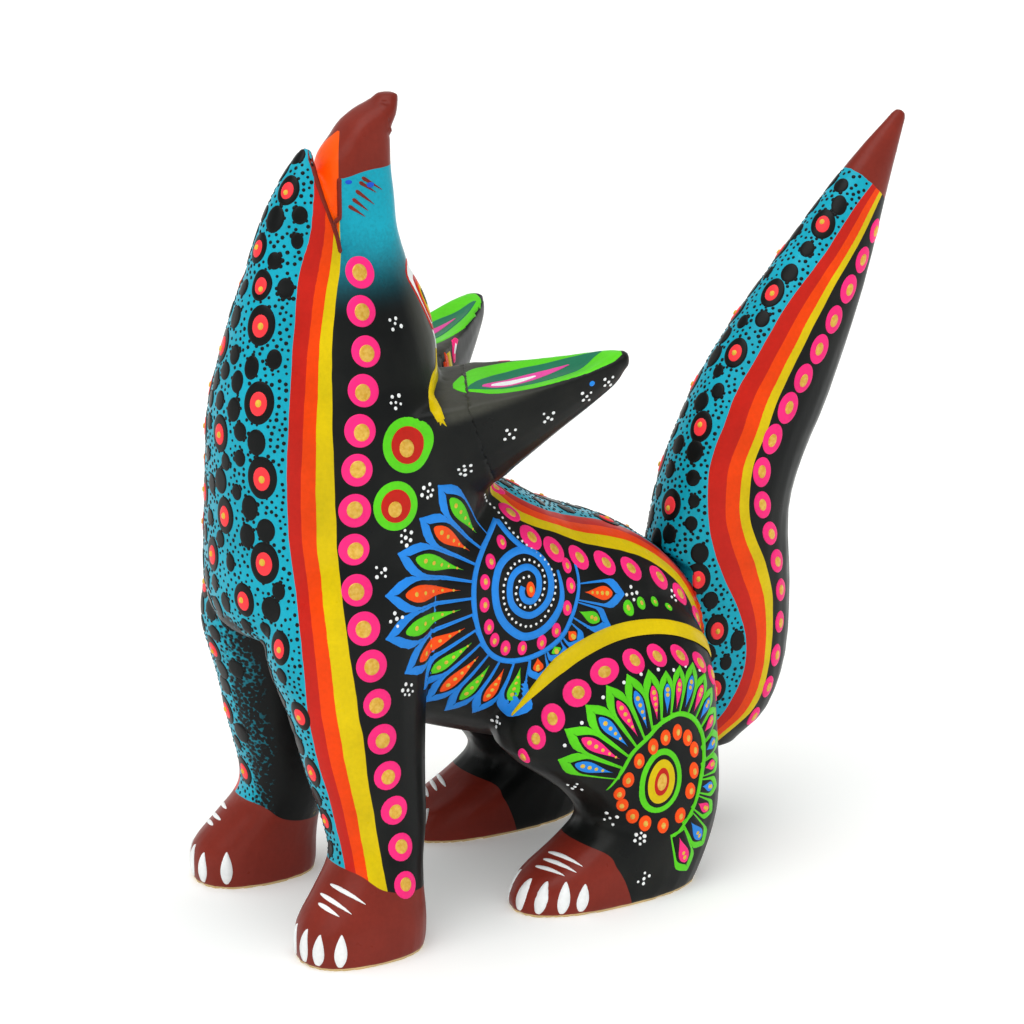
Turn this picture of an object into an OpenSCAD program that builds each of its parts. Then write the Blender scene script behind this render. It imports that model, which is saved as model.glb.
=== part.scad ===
// Howling coyote figure, carved from copal wood: one carving for the trunk, head and legs,
// with two ears and a tail that push into drilled sockets on round pegs.
// Millimetres. +Z up, the coyote faces -Y, its left side is +X, and the floor is z = 0.

/* [Joints] */
// Diameter of the tail's peg
tail_peg_d = 7; // [5:0.5:8]
// How far the tail's peg goes into the rump, and into the tail
tail_peg_in = 14; // [8:1:16]
// Diameter of each ear's peg
ear_peg_d = 3.5; // [2.5:0.5:4]
// How far an ear's peg goes into the head, and into the ear
ear_peg_in = 8; // [5:1:9]
// Radial clearance of a peg in its socket
peg_play = 0.05; // [0.02:0.01:0.1]
// Gap between two faces that seat on each other
seat_gap = 0.1; // [0.05:0.01:0.2]

/* [Stance] */
// Distance from the middle plane to the middle of a front paw
front_paw_x = 20; // [19:0.5:22]
// Distance from the middle plane to the middle of a hind paw
hind_paw_x = 19.5; // [18:0.5:21]

/* [Ears] */
// Angle of an ear outwards from straight back, in degrees
ear_yaw = 29; // [24:1:34]
// Angle of an ear upwards from level, in degrees
ear_rise = 16; // [10:1:20]
// Roll of an ear's inner face outwards, in degrees
ear_roll = 8; // [0:1:16]

/* [Smoothness] */
// Sides of the rings of the trunk and the neck
body_sides = 36; // [24:4:40]
// Sides of the rings of a leg, a jaw, an ear or the tail
limb_sides = 24; // [16:4:28]

/* [Hidden] */
painted_black = "#22211f";
painted_teal = "#14a5be";
bare_wood = "#d9b57c";
rings_per_span = 3;
cap_steps = 3;
carving_h = 140.2;
socket_spare = 0.8;
far = 200;

// ---- Lofts -------------------------------------------------------------------------------
// A station is [x, y, z, half width, depth ahead, depth behind, pitch, squareness]: a ring's
// centre, its half width along X, how deep it is on either side of that, the angle of its
// depth axis above +Y, and the exponent of its superellipse. Rings run square to their path.

function tangent(s, i) =
    i == 0 ? s[1] - s[0] :
    i == len(s) - 1 ? s[i] - s[i - 1] :
    (s[i + 1] - s[i - 1]) / 2;

// The station at t, where whole numbers are the stations themselves (Hermite interpolation).
function station(s, t) =
    let (i = min(floor(t), len(s) - 2), u = t - i)
    s[i] * (2 * pow(u, 3) - 3 * pow(u, 2) + 1)
    + tangent(s, i) * (pow(u, 3) - 2 * pow(u, 2) + u)
    + s[i + 1] * (3 * pow(u, 2) - 2 * pow(u, 3))
    + tangent(s, i + 1) * (pow(u, 3) - pow(u, 2));

function signed_power(v, e) = sign(v) * pow(abs(v), e);

function ring_point(c, angle, shrink) =
    let (
        across = c[3] * shrink * signed_power(cos(angle), 2 / c[7]),
        depth = sin(angle) < 0 ? c[4] : c[5],
        deep = depth * shrink * signed_power(sin(angle), 2 / c[7])
    )
    [c[0] + across, c[1] + deep * cos(c[6]), c[2] + deep * sin(c[6])];

// Direction square to a ring, for pushing its dome out.
function ring_normal(c) = [0, -sin(c[6]), cos(c[6])];

function dome_ring(c, sides, step, height) =
    let (a = 90 * (step + 0.3) / cap_steps)
    [for (j = [0:sides - 1])
        ring_point(c, 360 * j / sides, sin(a)) + ring_normal(c) * height * cos(a)];

// Rings along the stations, with a dome of the given height over each end.
module loft(stations, sides, dome_start = 2, dome_end = 2) {
    steps = (len(stations) - 1) * rings_per_span;
    path = [for (k = [0:steps]) station(stations, k / rings_per_span)];
    rings = concat(
        [for (k = [0:cap_steps - 1]) dome_ring(path[0], sides, k, -dome_start)],
        [for (c = path) [for (j = [0:sides - 1]) ring_point(c, 360 * j / sides, 1)]],
        [for (k = [cap_steps - 1:-1:0]) dome_ring(path[steps], sides, k, dome_end)]
    );
    count = len(rings);
    walls = [
        for (i = [0:count - 2]) for (j = [0:sides - 1])
            let (k = (j + 1) % sides)
            each [
                [i * sides + j, (i + 1) * sides + j, (i + 1) * sides + k],
                [i * sides + j, (i + 1) * sides + k, i * sides + k]
            ]
    ];
    caps = [
        [for (j = [0:sides - 1]) j],
        [for (j = [sides - 1:-1:0]) (count - 1) * sides + j]
    ];
    polyhedron(points = [for (r = rings) each r], faces = concat(walls, caps), convexity = 6);
}

// ---- Stations of the carving ---------------------------------------------------------------

// Chest, neck and skull, from the brisket up to the corners of the mouth.
neck = [
    [0, -47, 54, 18, 20.5, 18, 0, 2.2],
    [0, -47, 60, 20, 22, 20, 0, 2.2],
    [0, -45.5, 74, 19.5, 23.2, 26, 0, 2.2],
    [0, -46, 88, 17.3, 22.3, 21, 0, 2.2],
    [0, -46.2, 94, 15.2, 21.2, 17, 0, 2.2],
    [0, -46.6, 100, 13.2, 19.3, 17.2, 0, 2.2],
    [0, -47.9, 108, 10.5, 15.6, 16.2, 0, 2.2],
    [0, -47.8, 114.5, 7.8, 12.8, 12.4, 0, 2.2]
];
// Upper jaw and nose, with the palate on its front.
snout = [
    [0, -43, 104, 7, 8, 9, 0, 2.3],
    [0, -42, 111, 8, 8.5, 8, 0, 2.5],
    [0, -42, 118, 7, 7, 6.2, 0, 2.9],
    [0, -42, 124, 6.2, 7, 5.8, 0, 3],
    [0, -42, 130, 5.4, 6.6, 5.5, 0, 2.8],
    [0, -40.9, 134.1, 4.8, 5.1, 5, 5, 2.5],
    [0, -38.9, 137.5, 4, 4, 4, 8, 2.3],
    [0, -36.5, 139.4, 2.3, 2.2, 2.1, 8, 2.1]
];
// Lower jaw, widest along its lips, with the inside of the mouth on its back.
jaw = [
    [0, -51, 104, 7.5, 10, 6, 0, 2.2],
    [0, -50, 111, 8.2, 12, 5, 0, 2.2],
    [0, -49.6, 118, 6.9, 10.4, 2.3, 0, 2.2],
    [0, -50.6, 124, 4.9, 6.5, 1.5, -6, 2.2],
    [0, -51, 129, 2.9, 2.9, 1, -14, 2.2],
    [0, -51, 131.6, 1.3, 1.1, 0.6, -20, 2.2]
];
// Barrel of the trunk, from the chest back to the rump, where the tail seats.
trunk = [
    [0, -38, 54, 19, 20, 21, -90, 2.3],
    [0, -27, 52, 19.5, 24, 23, -90, 2.3],
    [0, -16, 49, 19.5, 23.4, 23.5, -90, 2.3],
    [0, -7, 46, 19, 21, 21, -90, 2.3],
    [0, 5, 42, 18.5, 20.2, 17, -90, 2.3],
    [0, 13, 38.5, 16.5, 18.8, 15.5, -90, 2.3],
    [0, 18, 37, 13.5, 15.8, 15, -90, 2.3],
    [0, 21.5, 36, 9.5, 13, 14, -90, 2.3]
];

// A front leg, from its sole up into the shoulder.
function front_leg(x) = [
    [x, -53.6, -1, 7.2, 10.6, 10.4, 0, 2.3],
    [x, -53.6, 1.5, 8, 11.6, 11.2, 0, 2.3],
    [x, -53.4, 6, 8.1, 11.4, 11.2, 0, 2.3],
    [x - 1, -52, 10.5, 7.8, 9.2, 10, 0, 2.2],
    [x - 2.5, -49.9, 15.5, 7.6, 7.3, 8.6, 0, 2.2],
    [x - 4.2, -48.9, 21, 7.8, 8.4, 9.1, 0, 2.2],
    [x - 5.4, -49.6, 30, 8.8, 10.2, 10.2, 0, 2.2],
    [x - 6.2, -50.2, 40, 9.6, 12, 11.4, 0, 2.2],
    [x - 7.6, -50.4, 50, 10.8, 14.8, 13, 0, 2.2],
    [x - 9, -49, 60, 10.8, 15.5, 14, 0, 2.2],
    [x - 10.5, -48, 72, 9, 13, 13, 0, 2.2]
];

// A hind leg, from its sole through the ankle and up over the thigh.
function hind_leg(x) = [
    [x, -5.6, -1, 7.4, 17, 17, 0, 2.3],
    [x, -5.4, 1.5, 8.5, 18.4, 18.2, 0, 2.3],
    [x, -4, 5.5, 8.8, 17.8, 18.6, 0, 2.3],
    [x - 0.3, 0, 9.5, 9, 15, 16.2, 0, 2.2],
    [x - 0.8, 3.6, 14, 9.6, 13, 13.4, 0, 2.2],
    [x - 1.8, 2, 20, 11, 15.2, 15.6, 0, 2.2],
    [x - 3.5, -3.5, 29, 12, 20.5, 21.8, 0, 2.2],
    [x - 5, -3, 38, 12.2, 20, 21, 0, 2.2],
    [x - 7.5, -2, 46, 10.5, 17, 18, 0, 2.2],
    [x - 10, -2, 52, 7, 12, 13, 0, 2.2]
];

// ---- Stations of the tail ------------------------------------------------------------------

tail_line = [
    [0, 27.5, 17, 6.5, 7.5, 6.6, 0, 2.2],
    [0, 29, 22, 9, 12, 11.2, 0, 2.2],
    [0, 30, 31.5, 10, 15, 13.8, 0, 2.2],
    [0, 30.4, 45, 10, 15, 14, 0, 2.2],
    [0, 31, 58.5, 10, 13.6, 12.6, 0, 2.2],
    [0, 34, 70, 9.5, 12.6, 12.8, -10, 2.2],
    [0, 41, 83.5, 8.8, 11.4, 12.2, -23, 2.2],
    [0, 52, 101, 6.5, 8.2, 8.6, -29, 2.2],
    [0, 61.3, 117, 3.5, 4.3, 4.5, -32, 2.1],
    [0, 67.6, 126.6, 1.3, 1.4, 1.4, -33, 2]
];
tail_peg_z = 36;
// Side view of what the tail's root is cut away from, in Y and Z: the seat and the rump above it.
tail_seat_y = 20.5;
tail_seat_top = 50.6;
rump_slope = 7;

// ---- Stations of an ear, in its own frame ----------------------------------------------------
// Its root is the origin and its tip lies along +Y, with the nearly flat inner face upwards.

ear_line = [
    [0, 0, 4.2, 10.4, 1, 21, -90, 2.2],
    [0, 6, 3.4, 10, 1, 19, -90, 2.2],
    [0, 13, 2.5, 9, 0.9, 15, -90, 2.2],
    [0, 20, 1.5, 7.3, 0.8, 10.7, -90, 2.2],
    [0, 27, 1, 5.4, 0.8, 7.2, -90, 2.1],
    [0, 32.5, 0.8, 3.6, 0.8, 4.4, -90, 2],
    [0, 35, 0.6, 2, 0.8, 2, -90, 2]
];
ear_root = [8.4, -35.1, 87];
ear_seat = 9;
ear_peg_drop = 6;

// ---- Shapes ----------------------------------------------------------------------------------

module both_sides() {
    children();
    mirror([1, 0, 0]) children();
}

// Places what is drawn in an ear's own frame on the left of the head.
module at_ear() {
    translate(ear_root) rotate([ear_rise, 0, -ear_yaw]) rotate([0, ear_roll, 0]) children();
}

module ear_form() {
    loft(ear_line, limb_sides, 2, 1);
}

// Everything beyond a plane square to Y.
module beyond(y) {
    translate([-far / 2, y, -far / 2]) cube(far);
}

// A round bar along +Y, centred at y, which is a peg or what a drill takes out.
module bar(d, y0, y1) {
    translate([0, y0, 0]) rotate([-90, 0, 0]) cylinder(d = d, h = y1 - y0, $fn = 48);
}

module ear_boss() {
    at_ear() difference() {
        ear_form();
        beyond(ear_seat);
    }
}

module form() {
    loft(neck, body_sides, 4, 2.4);
    loft(snout, limb_sides, 1, 1);
    loft(jaw, limb_sides, 1, 0.8);
    difference() {
        loft(trunk, body_sides, 4, 1);
        beyond(tail_seat_y);
    }
    both_sides() {
        loft(front_leg(front_paw_x), limb_sides, 0.5, 2);
        loft(hind_leg(hind_paw_x), limb_sides, 0.5, 3);
        ear_boss();
    }
}

// One skin round the whole form, with flat soles and its exact height.
module skin() {
    resize([0, 0, carving_h]) intersection() {
        form();
        translate([-far / 2, -far / 2, 0]) cube([far, far, carving_h]);
    }
}

module body_carving() {
    color(painted_black) difference() {
        skin();
        translate([0, 0, tail_peg_z])
            bar(tail_peg_d + 2 * peg_play, tail_seat_y - tail_peg_in - socket_spare, tail_seat_y + 1);
        both_sides() at_ear() translate([0, 0, -ear_peg_drop])
            bar(ear_peg_d + 2 * peg_play, ear_seat - ear_peg_in - socket_spare, ear_seat + 1);
    }
}

// What the tail's root has to leave free: everything ahead of the seat and under a slope.
module rump_clearance() {
    rotate([90, 0, 90]) linear_extrude(far, center = true) polygon([
        [tail_seat_y - far, -far],
        [tail_seat_y, -far],
        [tail_seat_y, tail_seat_top],
        [tail_seat_y - rump_slope, tail_seat_top + rump_slope],
        [tail_seat_y - far, tail_seat_top + rump_slope]
    ]);
}

module tail() {
    color(painted_teal) difference() {
        loft(tail_line, limb_sides, 2, 1.4);
        translate([0, seat_gap, seat_gap]) rump_clearance();
        translate([0, 0, tail_peg_z]) bar(tail_peg_d, tail_seat_y, tail_seat_y + tail_peg_in);
    }
}

module tail_peg() {
    color(bare_wood) translate([0, 0, tail_peg_z])
        bar(tail_peg_d, tail_seat_y - tail_peg_in, tail_seat_y + tail_peg_in);
}

module ear() {
    color(painted_black) at_ear() difference() {
        ear_form();
        translate([0, ear_seat + seat_gap - far, 0]) beyond(0);
        translate([0, 0, -ear_peg_drop]) bar(ear_peg_d, ear_seat, ear_seat + ear_peg_in);
    }
}

module ear_peg() {
    color(bare_wood) at_ear() translate([0, 0, -ear_peg_drop])
        bar(ear_peg_d, ear_seat - ear_peg_in, ear_seat + ear_peg_in);
}

module ear_left() {
    ear();
}

module ear_right() {
    mirror([1, 0, 0]) ear();
}

module ear_left_peg() {
    ear_peg();
}

module ear_right_peg() {
    mirror([1, 0, 0]) ear_peg();
}

body_carving();
tail();
tail_peg();
ear_left();
ear_right();
ear_left_peg();
ear_right_peg();
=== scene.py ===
"""Looks of the howling coyote: a carved wooden figure, painted by hand with raised dots.

The carving, the tail and the ears are remeshed from the frame's own solids and sanded soft.
Large colour areas are zones of each skin, kept as smooth fields on its vertices. Everything that
a brush or a stick end adds on top (discs, ovals, petals, dots, claws) is a thin raised mesh that
is laid on the skin. Lengths in this script are millimetres, and MM turns them into metres.
"""

import math
import random

import bmesh
import bpy
import numpy as np
from mathutils import Matrix, Vector
from mathutils.bvhtree import BVHTree


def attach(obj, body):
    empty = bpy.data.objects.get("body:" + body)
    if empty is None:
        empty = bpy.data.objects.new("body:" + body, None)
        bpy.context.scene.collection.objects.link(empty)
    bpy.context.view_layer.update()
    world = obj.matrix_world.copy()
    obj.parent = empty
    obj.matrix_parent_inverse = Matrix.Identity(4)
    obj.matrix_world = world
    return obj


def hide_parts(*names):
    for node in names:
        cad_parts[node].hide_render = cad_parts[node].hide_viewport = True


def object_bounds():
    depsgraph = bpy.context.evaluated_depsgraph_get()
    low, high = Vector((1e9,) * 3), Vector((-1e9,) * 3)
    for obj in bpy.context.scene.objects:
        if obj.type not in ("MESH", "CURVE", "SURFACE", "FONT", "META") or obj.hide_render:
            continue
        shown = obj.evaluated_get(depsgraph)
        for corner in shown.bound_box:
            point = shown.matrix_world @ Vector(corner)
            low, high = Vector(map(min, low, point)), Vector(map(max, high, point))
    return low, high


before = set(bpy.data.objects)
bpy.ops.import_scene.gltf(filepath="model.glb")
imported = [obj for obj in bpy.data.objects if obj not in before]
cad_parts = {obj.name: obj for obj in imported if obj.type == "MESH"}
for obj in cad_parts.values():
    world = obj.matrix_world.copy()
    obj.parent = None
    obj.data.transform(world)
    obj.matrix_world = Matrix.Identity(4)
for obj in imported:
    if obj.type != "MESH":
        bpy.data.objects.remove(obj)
cad_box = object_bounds()

MM = 0.001
CAD_LO, CAD_HI = (np.array(corner) / MM for corner in cad_box)
UP = Vector((0, 0, 1))

# ---- Colours ---------------------------------------------------------------------------------

COLOURS = {
    "black": "0e1010", "teal": "12a6be", "red": "c22014", "orange": "ee4300", "yellow": "dcbf00",
    "olive": "9a9a10", "brown": "7e2a1f", "palate": "ff5a06", "pink": "ff2a80", "gold": "d9a22e",
    "white": "f4f6f6", "blue": "2588e6", "ultramarine": "1c5ad2", "green": "5bd41c",
    "leaf": "1f7656", "coral": "ff3c44", "tangerine": "ff5210", "straw": "e2b840", "wood": "dcc08a",
    "grey": "4a4a42", "mauve": "e84aa2",
}
GROUNDS = ("grey", "wood", "gold")


def linear(name):
    """A named colour as linear red, green, blue and alpha."""
    code = COLOURS[name]
    parts = [int(code[i:i + 2], 16) / 255 for i in (0, 2, 4)]
    return [c / 12.92 if c <= 0.04045 else ((c + 0.055) / 1.055) ** 2.4 for c in parts] + [1.0]


# ---- Small maths -----------------------------------------------------------------------------

def curve(x, table):
    """Smooth value at x of the curve through a table of (x, value) pairs."""
    xs, ys = np.array(table, float).T
    slope = np.gradient(ys, xs)
    i = np.clip(np.searchsorted(xs, x) - 1, 0, len(xs) - 2)
    step = xs[i + 1] - xs[i]
    u = np.clip((x - xs[i]) / step, 0, 1)
    return (ys[i] * (2 * u**3 - 3 * u**2 + 1) + slope[i] * step * (u**3 - 2 * u**2 + u)
            + ys[i + 1] * (3 * u**2 - 2 * u**3) + slope[i + 1] * step * (u**3 - u**2))


def straight(x, table):
    """Value at x of the straight lines through a table of (x, value) pairs."""
    xs, ys = np.array(table, float).T
    return np.interp(x, xs, ys)


def resampled(path, step):
    """Points about a step apart on the smooth curve through the path's points, and their share
    of its length."""
    path = np.array(path, float)
    marks = np.concatenate([[0], np.cumsum(np.linalg.norm(np.diff(path, axis=0), axis=1))])
    count = max(2, int(round(marks[-1] / step)) + 1)
    at = np.linspace(0, marks[-1], count)
    if len(path) > 2:
        line = np.stack([curve(at, np.stack([marks, path[:, k]], axis=1)) for k in range(3)], axis=1)
    else:
        line = path[0] + (path[1] - path[0]) * (at / marks[-1])[:, None]
    return line, at / marks[-1]


def smoothstep(x, low, high):
    """0 up to low, 1 from high on, and smooth between."""
    u = np.clip((x - low) / (high - low), 0, 1)
    return u * u * (3 - 2 * u)


def tangents(normal, up=UP):
    """The directions across and up on a skin with this normal."""
    up = Vector(up)
    v = (up - normal * up.dot(normal)).normalized()
    return v.cross(normal), v


# ---- Skins -----------------------------------------------------------------------------------

def new_object(name, points, faces):
    """A mesh object from points in millimetres."""
    mesh = bpy.data.meshes.new(name)
    mesh.from_pydata((np.asarray(points) * MM).tolist(), [], faces)
    mesh.update()
    mesh.polygons.foreach_set("use_smooth", [True] * len(mesh.polygons))
    obj = bpy.data.objects.new(name, mesh)
    bpy.context.scene.collection.objects.link(obj)
    return obj


def vertices(mesh):
    """A mesh's vertices in millimetres."""
    flat = np.empty(len(mesh.vertices) * 3)
    mesh.vertices.foreach_get("co", flat)
    return flat.reshape(-1, 3) / MM


def remeshed(node, name, voxel):
    """A new object with an even skin of quads over a CAD node's solid."""
    source = bpy.data.objects.new(name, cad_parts[node].data.copy())
    bpy.context.scene.collection.objects.link(source)
    bm = bmesh.new()
    bm.from_mesh(source.data)
    bmesh.ops.remove_doubles(bm, verts=bm.verts, dist=1e-7)
    bm.to_mesh(source.data)
    bm.free()
    remesh = source.modifiers.new("remesh", "REMESH")
    remesh.mode = "VOXEL"
    remesh.voxel_size = voxel * MM
    evaluated = source.evaluated_get(bpy.context.evaluated_depsgraph_get())
    mesh = bpy.data.meshes.new_from_object(evaluated)
    bpy.data.objects.remove(source)
    mesh.name = name
    mesh.materials.clear()
    mesh.polygons.foreach_set("use_smooth", [True] * len(mesh.polygons))
    obj = bpy.data.objects.new(name, mesh)
    bpy.context.scene.collection.objects.link(obj)
    return obj


# Shares of the way to its neighbours' middle that a point moves in, and then back out
SAND_IN, SAND_OUT = 0.6, -0.56


def sanded(points, edges, softness, rounds):
    """Points smoothed along the edges by a share of softness, without much shrinking."""
    a, b = edges.T
    count = np.bincount(np.concatenate([a, b]), minlength=len(points))[:, None]
    for step in range(rounds):
        total = np.stack([
            np.bincount(a, points[b, k], len(points)) + np.bincount(b, points[a, k], len(points))
            for k in range(3)], axis=1)
        push = SAND_IN if step % 2 == 0 else SAND_OUT
        points = points + push * softness[:, None] * (total / count - points)
    return points


# Skin.under looks from this far above a spot, over this distance in all, and takes a place whose
# normal agrees at least this well with the spot's.
LOOK_FROM, LOOK_ALONG, LOOK_AGREES = 1.5, 4.5, 0.2


class Skin:
    """A remeshed solid, with its zones and the ways to find places on it."""

    def __init__(self, node, name, voxel, softness, rounds, shape):
        self.obj = remeshed(node, name, voxel)
        mesh = self.obj.data
        edges = np.empty(len(mesh.edges) * 2, int)
        mesh.edges.foreach_get("vertices", edges)
        points = vertices(mesh)
        points = sanded(points, edges.reshape(-1, 2), softness(points), rounds)
        points = np.clip(shape(points), CAD_LO, CAD_HI)
        mesh.vertices.foreach_set("co", (points * MM).ravel())
        mesh.update()
        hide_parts(node)
        self.points = points
        faces = [tuple(p.vertices) for p in mesh.polygons]
        self.tree = BVHTree.FromPolygons(points.tolist(), faces)

    def near(self, point):
        """The skin's nearest place to a point, and its normal there."""
        place, normal, _, _ = self.tree.find_nearest(Vector(point))
        return place, normal

    def cast(self, start, towards):
        """Where a ray first meets the skin and the normal there, or None."""
        place, normal, _, _ = self.tree.ray_cast(Vector(start), Vector(towards).normalized())
        return None if place is None else (place, normal)

    def under(self, spot, normal):
        """The place on the skin straight under a spot, and its normal there."""
        place, found, _, _ = self.tree.ray_cast(spot + normal * LOOK_FROM, -normal, LOOK_ALONG)
        if place is None or found.dot(normal) < LOOK_AGREES:
            return self.near(spot)
        return place, found

    def zone(self, name, values):
        """Keeps a field of values, one for each vertex, for the materials."""
        layer = self.obj.data.attributes.new(name, "FLOAT", "POINT")
        layer.data.foreach_set("value", np.asarray(values, np.float32))


# ---- Zones of the carving --------------------------------------------------------------------

# The striped band runs down the neck and the front leg on each side. Places on it are measured
# in the oblique direction 0.45 |x| + 0.9 y, at each height z: (z, where the turquoise ends) and
# (z, where the yellow ends).
PANEL_EDGE = [
    (9, -41.2), (12, -41.5), (16, -42), (21, -43), (27, -44.2), (34, -46), (42, -47.4),
    (52, -48.2), (62, -49), (72, -50.1), (81, -50.3), (97, -49.4), (105, -48.7), (111, -48),
    (115, -47.2), (118, -46.2), (121, -45.5), (125, -45), (133, -45)]
PANEL_END = [
    (9, -34.4), (12, -34.9), (19, -36), (29, -37.5), (42, -39), (56, -40.8), (68, -42.1),
    (81, -42.6), (94, -42.6), (103, -42.3), (109, -41.7), (114, -40.9), (120, -40.8),
    (133, -40.8)]
# The stripes' shares of the band: (z, where the red ends) and (z, where the orange ends).
PANEL_RED = [(76, 0.27), (96, 0.36), (112, 0.46), (119, 0.49)]
PANEL_ORANGE = [(76, 0.56), (104, 0.68), (119, 0.77)]
# The saddle's band, measured in |x| at each place s = (y - z) / sqrt 2 along the spine.
SADDLE_EDGE = [
    (-76, -7), (-72, -3.5), (-69, 2), (-65, 7.5), (-61, 9.6), (-57, 9.6), (-53, 8.2), (-48, 6.6),
    (-42, 5.4), (-34, 4.8), (-26, 5.4), (-18, 7), (-10, 8)]
SADDLE_END = [
    (-76, 0.5), (-72, 7), (-69, 10), (-66, 11.1), (-63.7, 13), (-59.7, 14), (-53.3, 13.5),
    (-45, 13), (-39, 12.7), (-32, 12.4), (-26, 12.4), (-21, 12.8), (-15, 13.8), (-10, 14)]
SADDLE_SHARES = (0.34, 0.66)
# Half width of the painted shade, black, between the front legs and under the chest, by height.
ARCH = [(9, 12.6), (14, 12.4), (19, 12), (32, 11.1), (43, 9.6), (49, 9.2), (53, 7.6), (55.5, 4.4), (57, -2)]
# The lower jaw's lip, y by height. The upper jaw's lip lies where 0.51 |x| + 0.86 y is SNOUT_LIP,
# and the mouth runs out in a point at MOUTH_TOP.
JAW_LIP = [(114, -48.6), (118, -49.4), (124, -50.4), (129, -50.9), (132, -50.7), (136, -50)]
SNOUT_LIP = -38.7
MOUTH_TOP = 137.5
NOSE_LINE = [(-47, 127.8), (-43, 128.8), (-38, 129.1)]
FRONT_PAW_LINE = [(-58, 15.6), (-55.5, 14.9), (-53, 12.8), (-50, 11.6), (-45, 10.8), (-40, 10.2)]
HIND_PAW_LINE = [(0, -4.6), (7.4, -7.8), (10.5, -10), (11.6, -13)]


def thirds(share, red, orange):
    """A band share, moved so that red ends at a third of the band and orange at two thirds."""
    low = np.where(share < red, share / red, 1 + (share - red) / (orange - red))
    high = 2 + (share - orange) / (1 - orange)
    return np.where(share < 0, share, np.where(share < orange, low, high) / 3)


def carving_zones(p):
    """Fields of the carving at points p: band shares, and depths in millimetres inside the
    other colours."""
    x, y, z = np.abs(p[:, 0]), p[:, 1], p[:, 2]
    edge, end = curve(z, PANEL_EDGE), curve(z, PANEL_END)
    panel = (0.45 * x + 0.9 * y - edge) / (end - edge)
    panel = thirds(panel, straight(z, PANEL_RED), straight(z, PANEL_ORANGE))
    # Painted shade: black over the inner sides of the front legs
    inner_leg_shade = np.minimum(curve(z, ARCH) + 1.5 - x, 3 * (panel + 0.85))
    panel = np.where(y > -30, 9, panel)
    s = (y - z) / math.sqrt(2)
    edge, end = curve(s, SADDLE_EDGE), curve(s, SADDLE_END)
    saddle = thirds((x - edge) / (end - edge), *SADDLE_SHARES)
    # The saddle ends before the rump and the nape, and over the flanks.
    off_back = (s > -12) | (s < -80) | (y < -32) | (z < 50 - 0.55 * y)
    saddle = np.where(off_back, 9, saddle)
    # Painted shade: black between the front legs and under the chest, within ARCH's half width
    shade = np.where((y < -36) & (z < 58), curve(z, ARCH) - x, -9)
    shade = np.where(z < 42, np.maximum(shade, 2.5 * inner_leg_shade), shade)
    mouth = np.minimum(y - curve(z, JAW_LIP), SNOUT_LIP - 0.51 * x - 0.86 * y)
    mouth = np.minimum(mouth, 0.5 * (MOUTH_TOP - z))
    nose = z - curve(y, NOSE_LINE)
    front_paw = np.where(y < -33, curve(y, FRONT_PAW_LINE) - z, -9)
    hind_paw = np.where((y > -33) & (z < 14), curve(z, HIND_PAW_LINE) - y, -9)
    brown = np.maximum(np.where(y > -49, nose, -9), np.maximum(front_paw, hind_paw))
    root = ear_local(p, np.where(p[:, 0] > 0, 1.0, -1.0))
    return {
        "band": np.clip(np.minimum(panel, saddle), -4, 4),
        "shade": np.clip(shade, -9, 9),
        "brown": np.clip(brown, -9, 9),
        "mouth": np.clip(np.minimum(mouth, z - 116.5), -9, 9),
        # Painted sheen: grey on the upper face of each ear's root
        "snout": smoothstep(z, 105, 121) ** 1.5 * (y > -52),
        "face": ear_sheen(root),
        "sole": 0.45 - z,
    }


# ---- Zones of the tail -----------------------------------------------------------------------

TAIL_EDGE = [
    (14, 19), (20, 23), (23, 25.4), (26.7, 27.8), (30.3, 29.4), (34.9, 30.1), (38.7, 29.8),
    (43.6, 28.2), (49.3, 25.4), (54.9, 23.6), (60.9, 22.9), (66.4, 23.3), (72.5, 24.9),
    (76, 26.6), (81.5, 29.4), (89.4, 34.9), (97.1, 41.1), (103.6, 47.6), (112, 55.3), (118, 62)]
TAIL_END = [
    (14, 23), (17, 26), (20.3, 29.2), (22.7, 32.2), (26.1, 34.5), (30.7, 35.7), (35.3, 36.3),
    (40.7, 36.4), (45.5, 36), (50.5, 34.3), (55, 32.2), (59, 30.6), (64.3, 30.4), (69.4, 31.5),
    (75.6, 34.5), (80.7, 36.8), (89.6, 42.7), (98.1, 49.1), (107.8, 57.4), (113.4, 61.8),
    (118, 66)]
TAIL_SHARES = (0.40, 0.74)


def tail_zones(p):
    """Fields of the tail at points p: band shares, and depth inside the brown tip."""
    y, z = p[:, 1], p[:, 2]
    edge, end = curve(z, TAIL_EDGE), curve(z, TAIL_END)
    return {
        "band": np.clip(thirds((y - edge) / (end - edge), *TAIL_SHARES), -4, 4),
        "brown": np.clip((z + 0.9 * (y - 57) - 118.2) / 1.35, -9, 9),
    }


# ---- The ears' own frame ---------------------------------------------------------------------

EAR_ROOT = Vector((8.4, -35.1, 87))
EAR_TURN = (Matrix.Rotation(math.radians(-29), 3, "Z") @ Matrix.Rotation(math.radians(16), 3, "X")
            @ Matrix.Rotation(math.radians(8), 3, "Y"))
# Where an ear's seat lies along u, and the root's half width and lowest h there
EAR_SEAT = 9
EAR_ROOT_HALF = 11.5
EAR_ROOT_FLOOR = -13


def ear_place(w, u, h=0.0):
    """A point in the left ear's own frame: w across, u along from the root, and h above."""
    return EAR_ROOT + EAR_TURN @ Vector((w, u, h))


def ear_local(p, side):
    """Points in an ear's own frame; side is 1 for the left ear and -1 for the right one."""
    mirrored = np.stack([p[:, 0] * side, p[:, 1], p[:, 2]], axis=1)
    return (mirrored - np.array(EAR_ROOT)) @ np.array(EAR_TURN)


def ear_points(local, side):
    """The figure's points for places in an ear's own frame; the inverse of ear_local."""
    return (local @ np.array(EAR_TURN).T + np.array(EAR_ROOT)) * (side, 1, 1)


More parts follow.
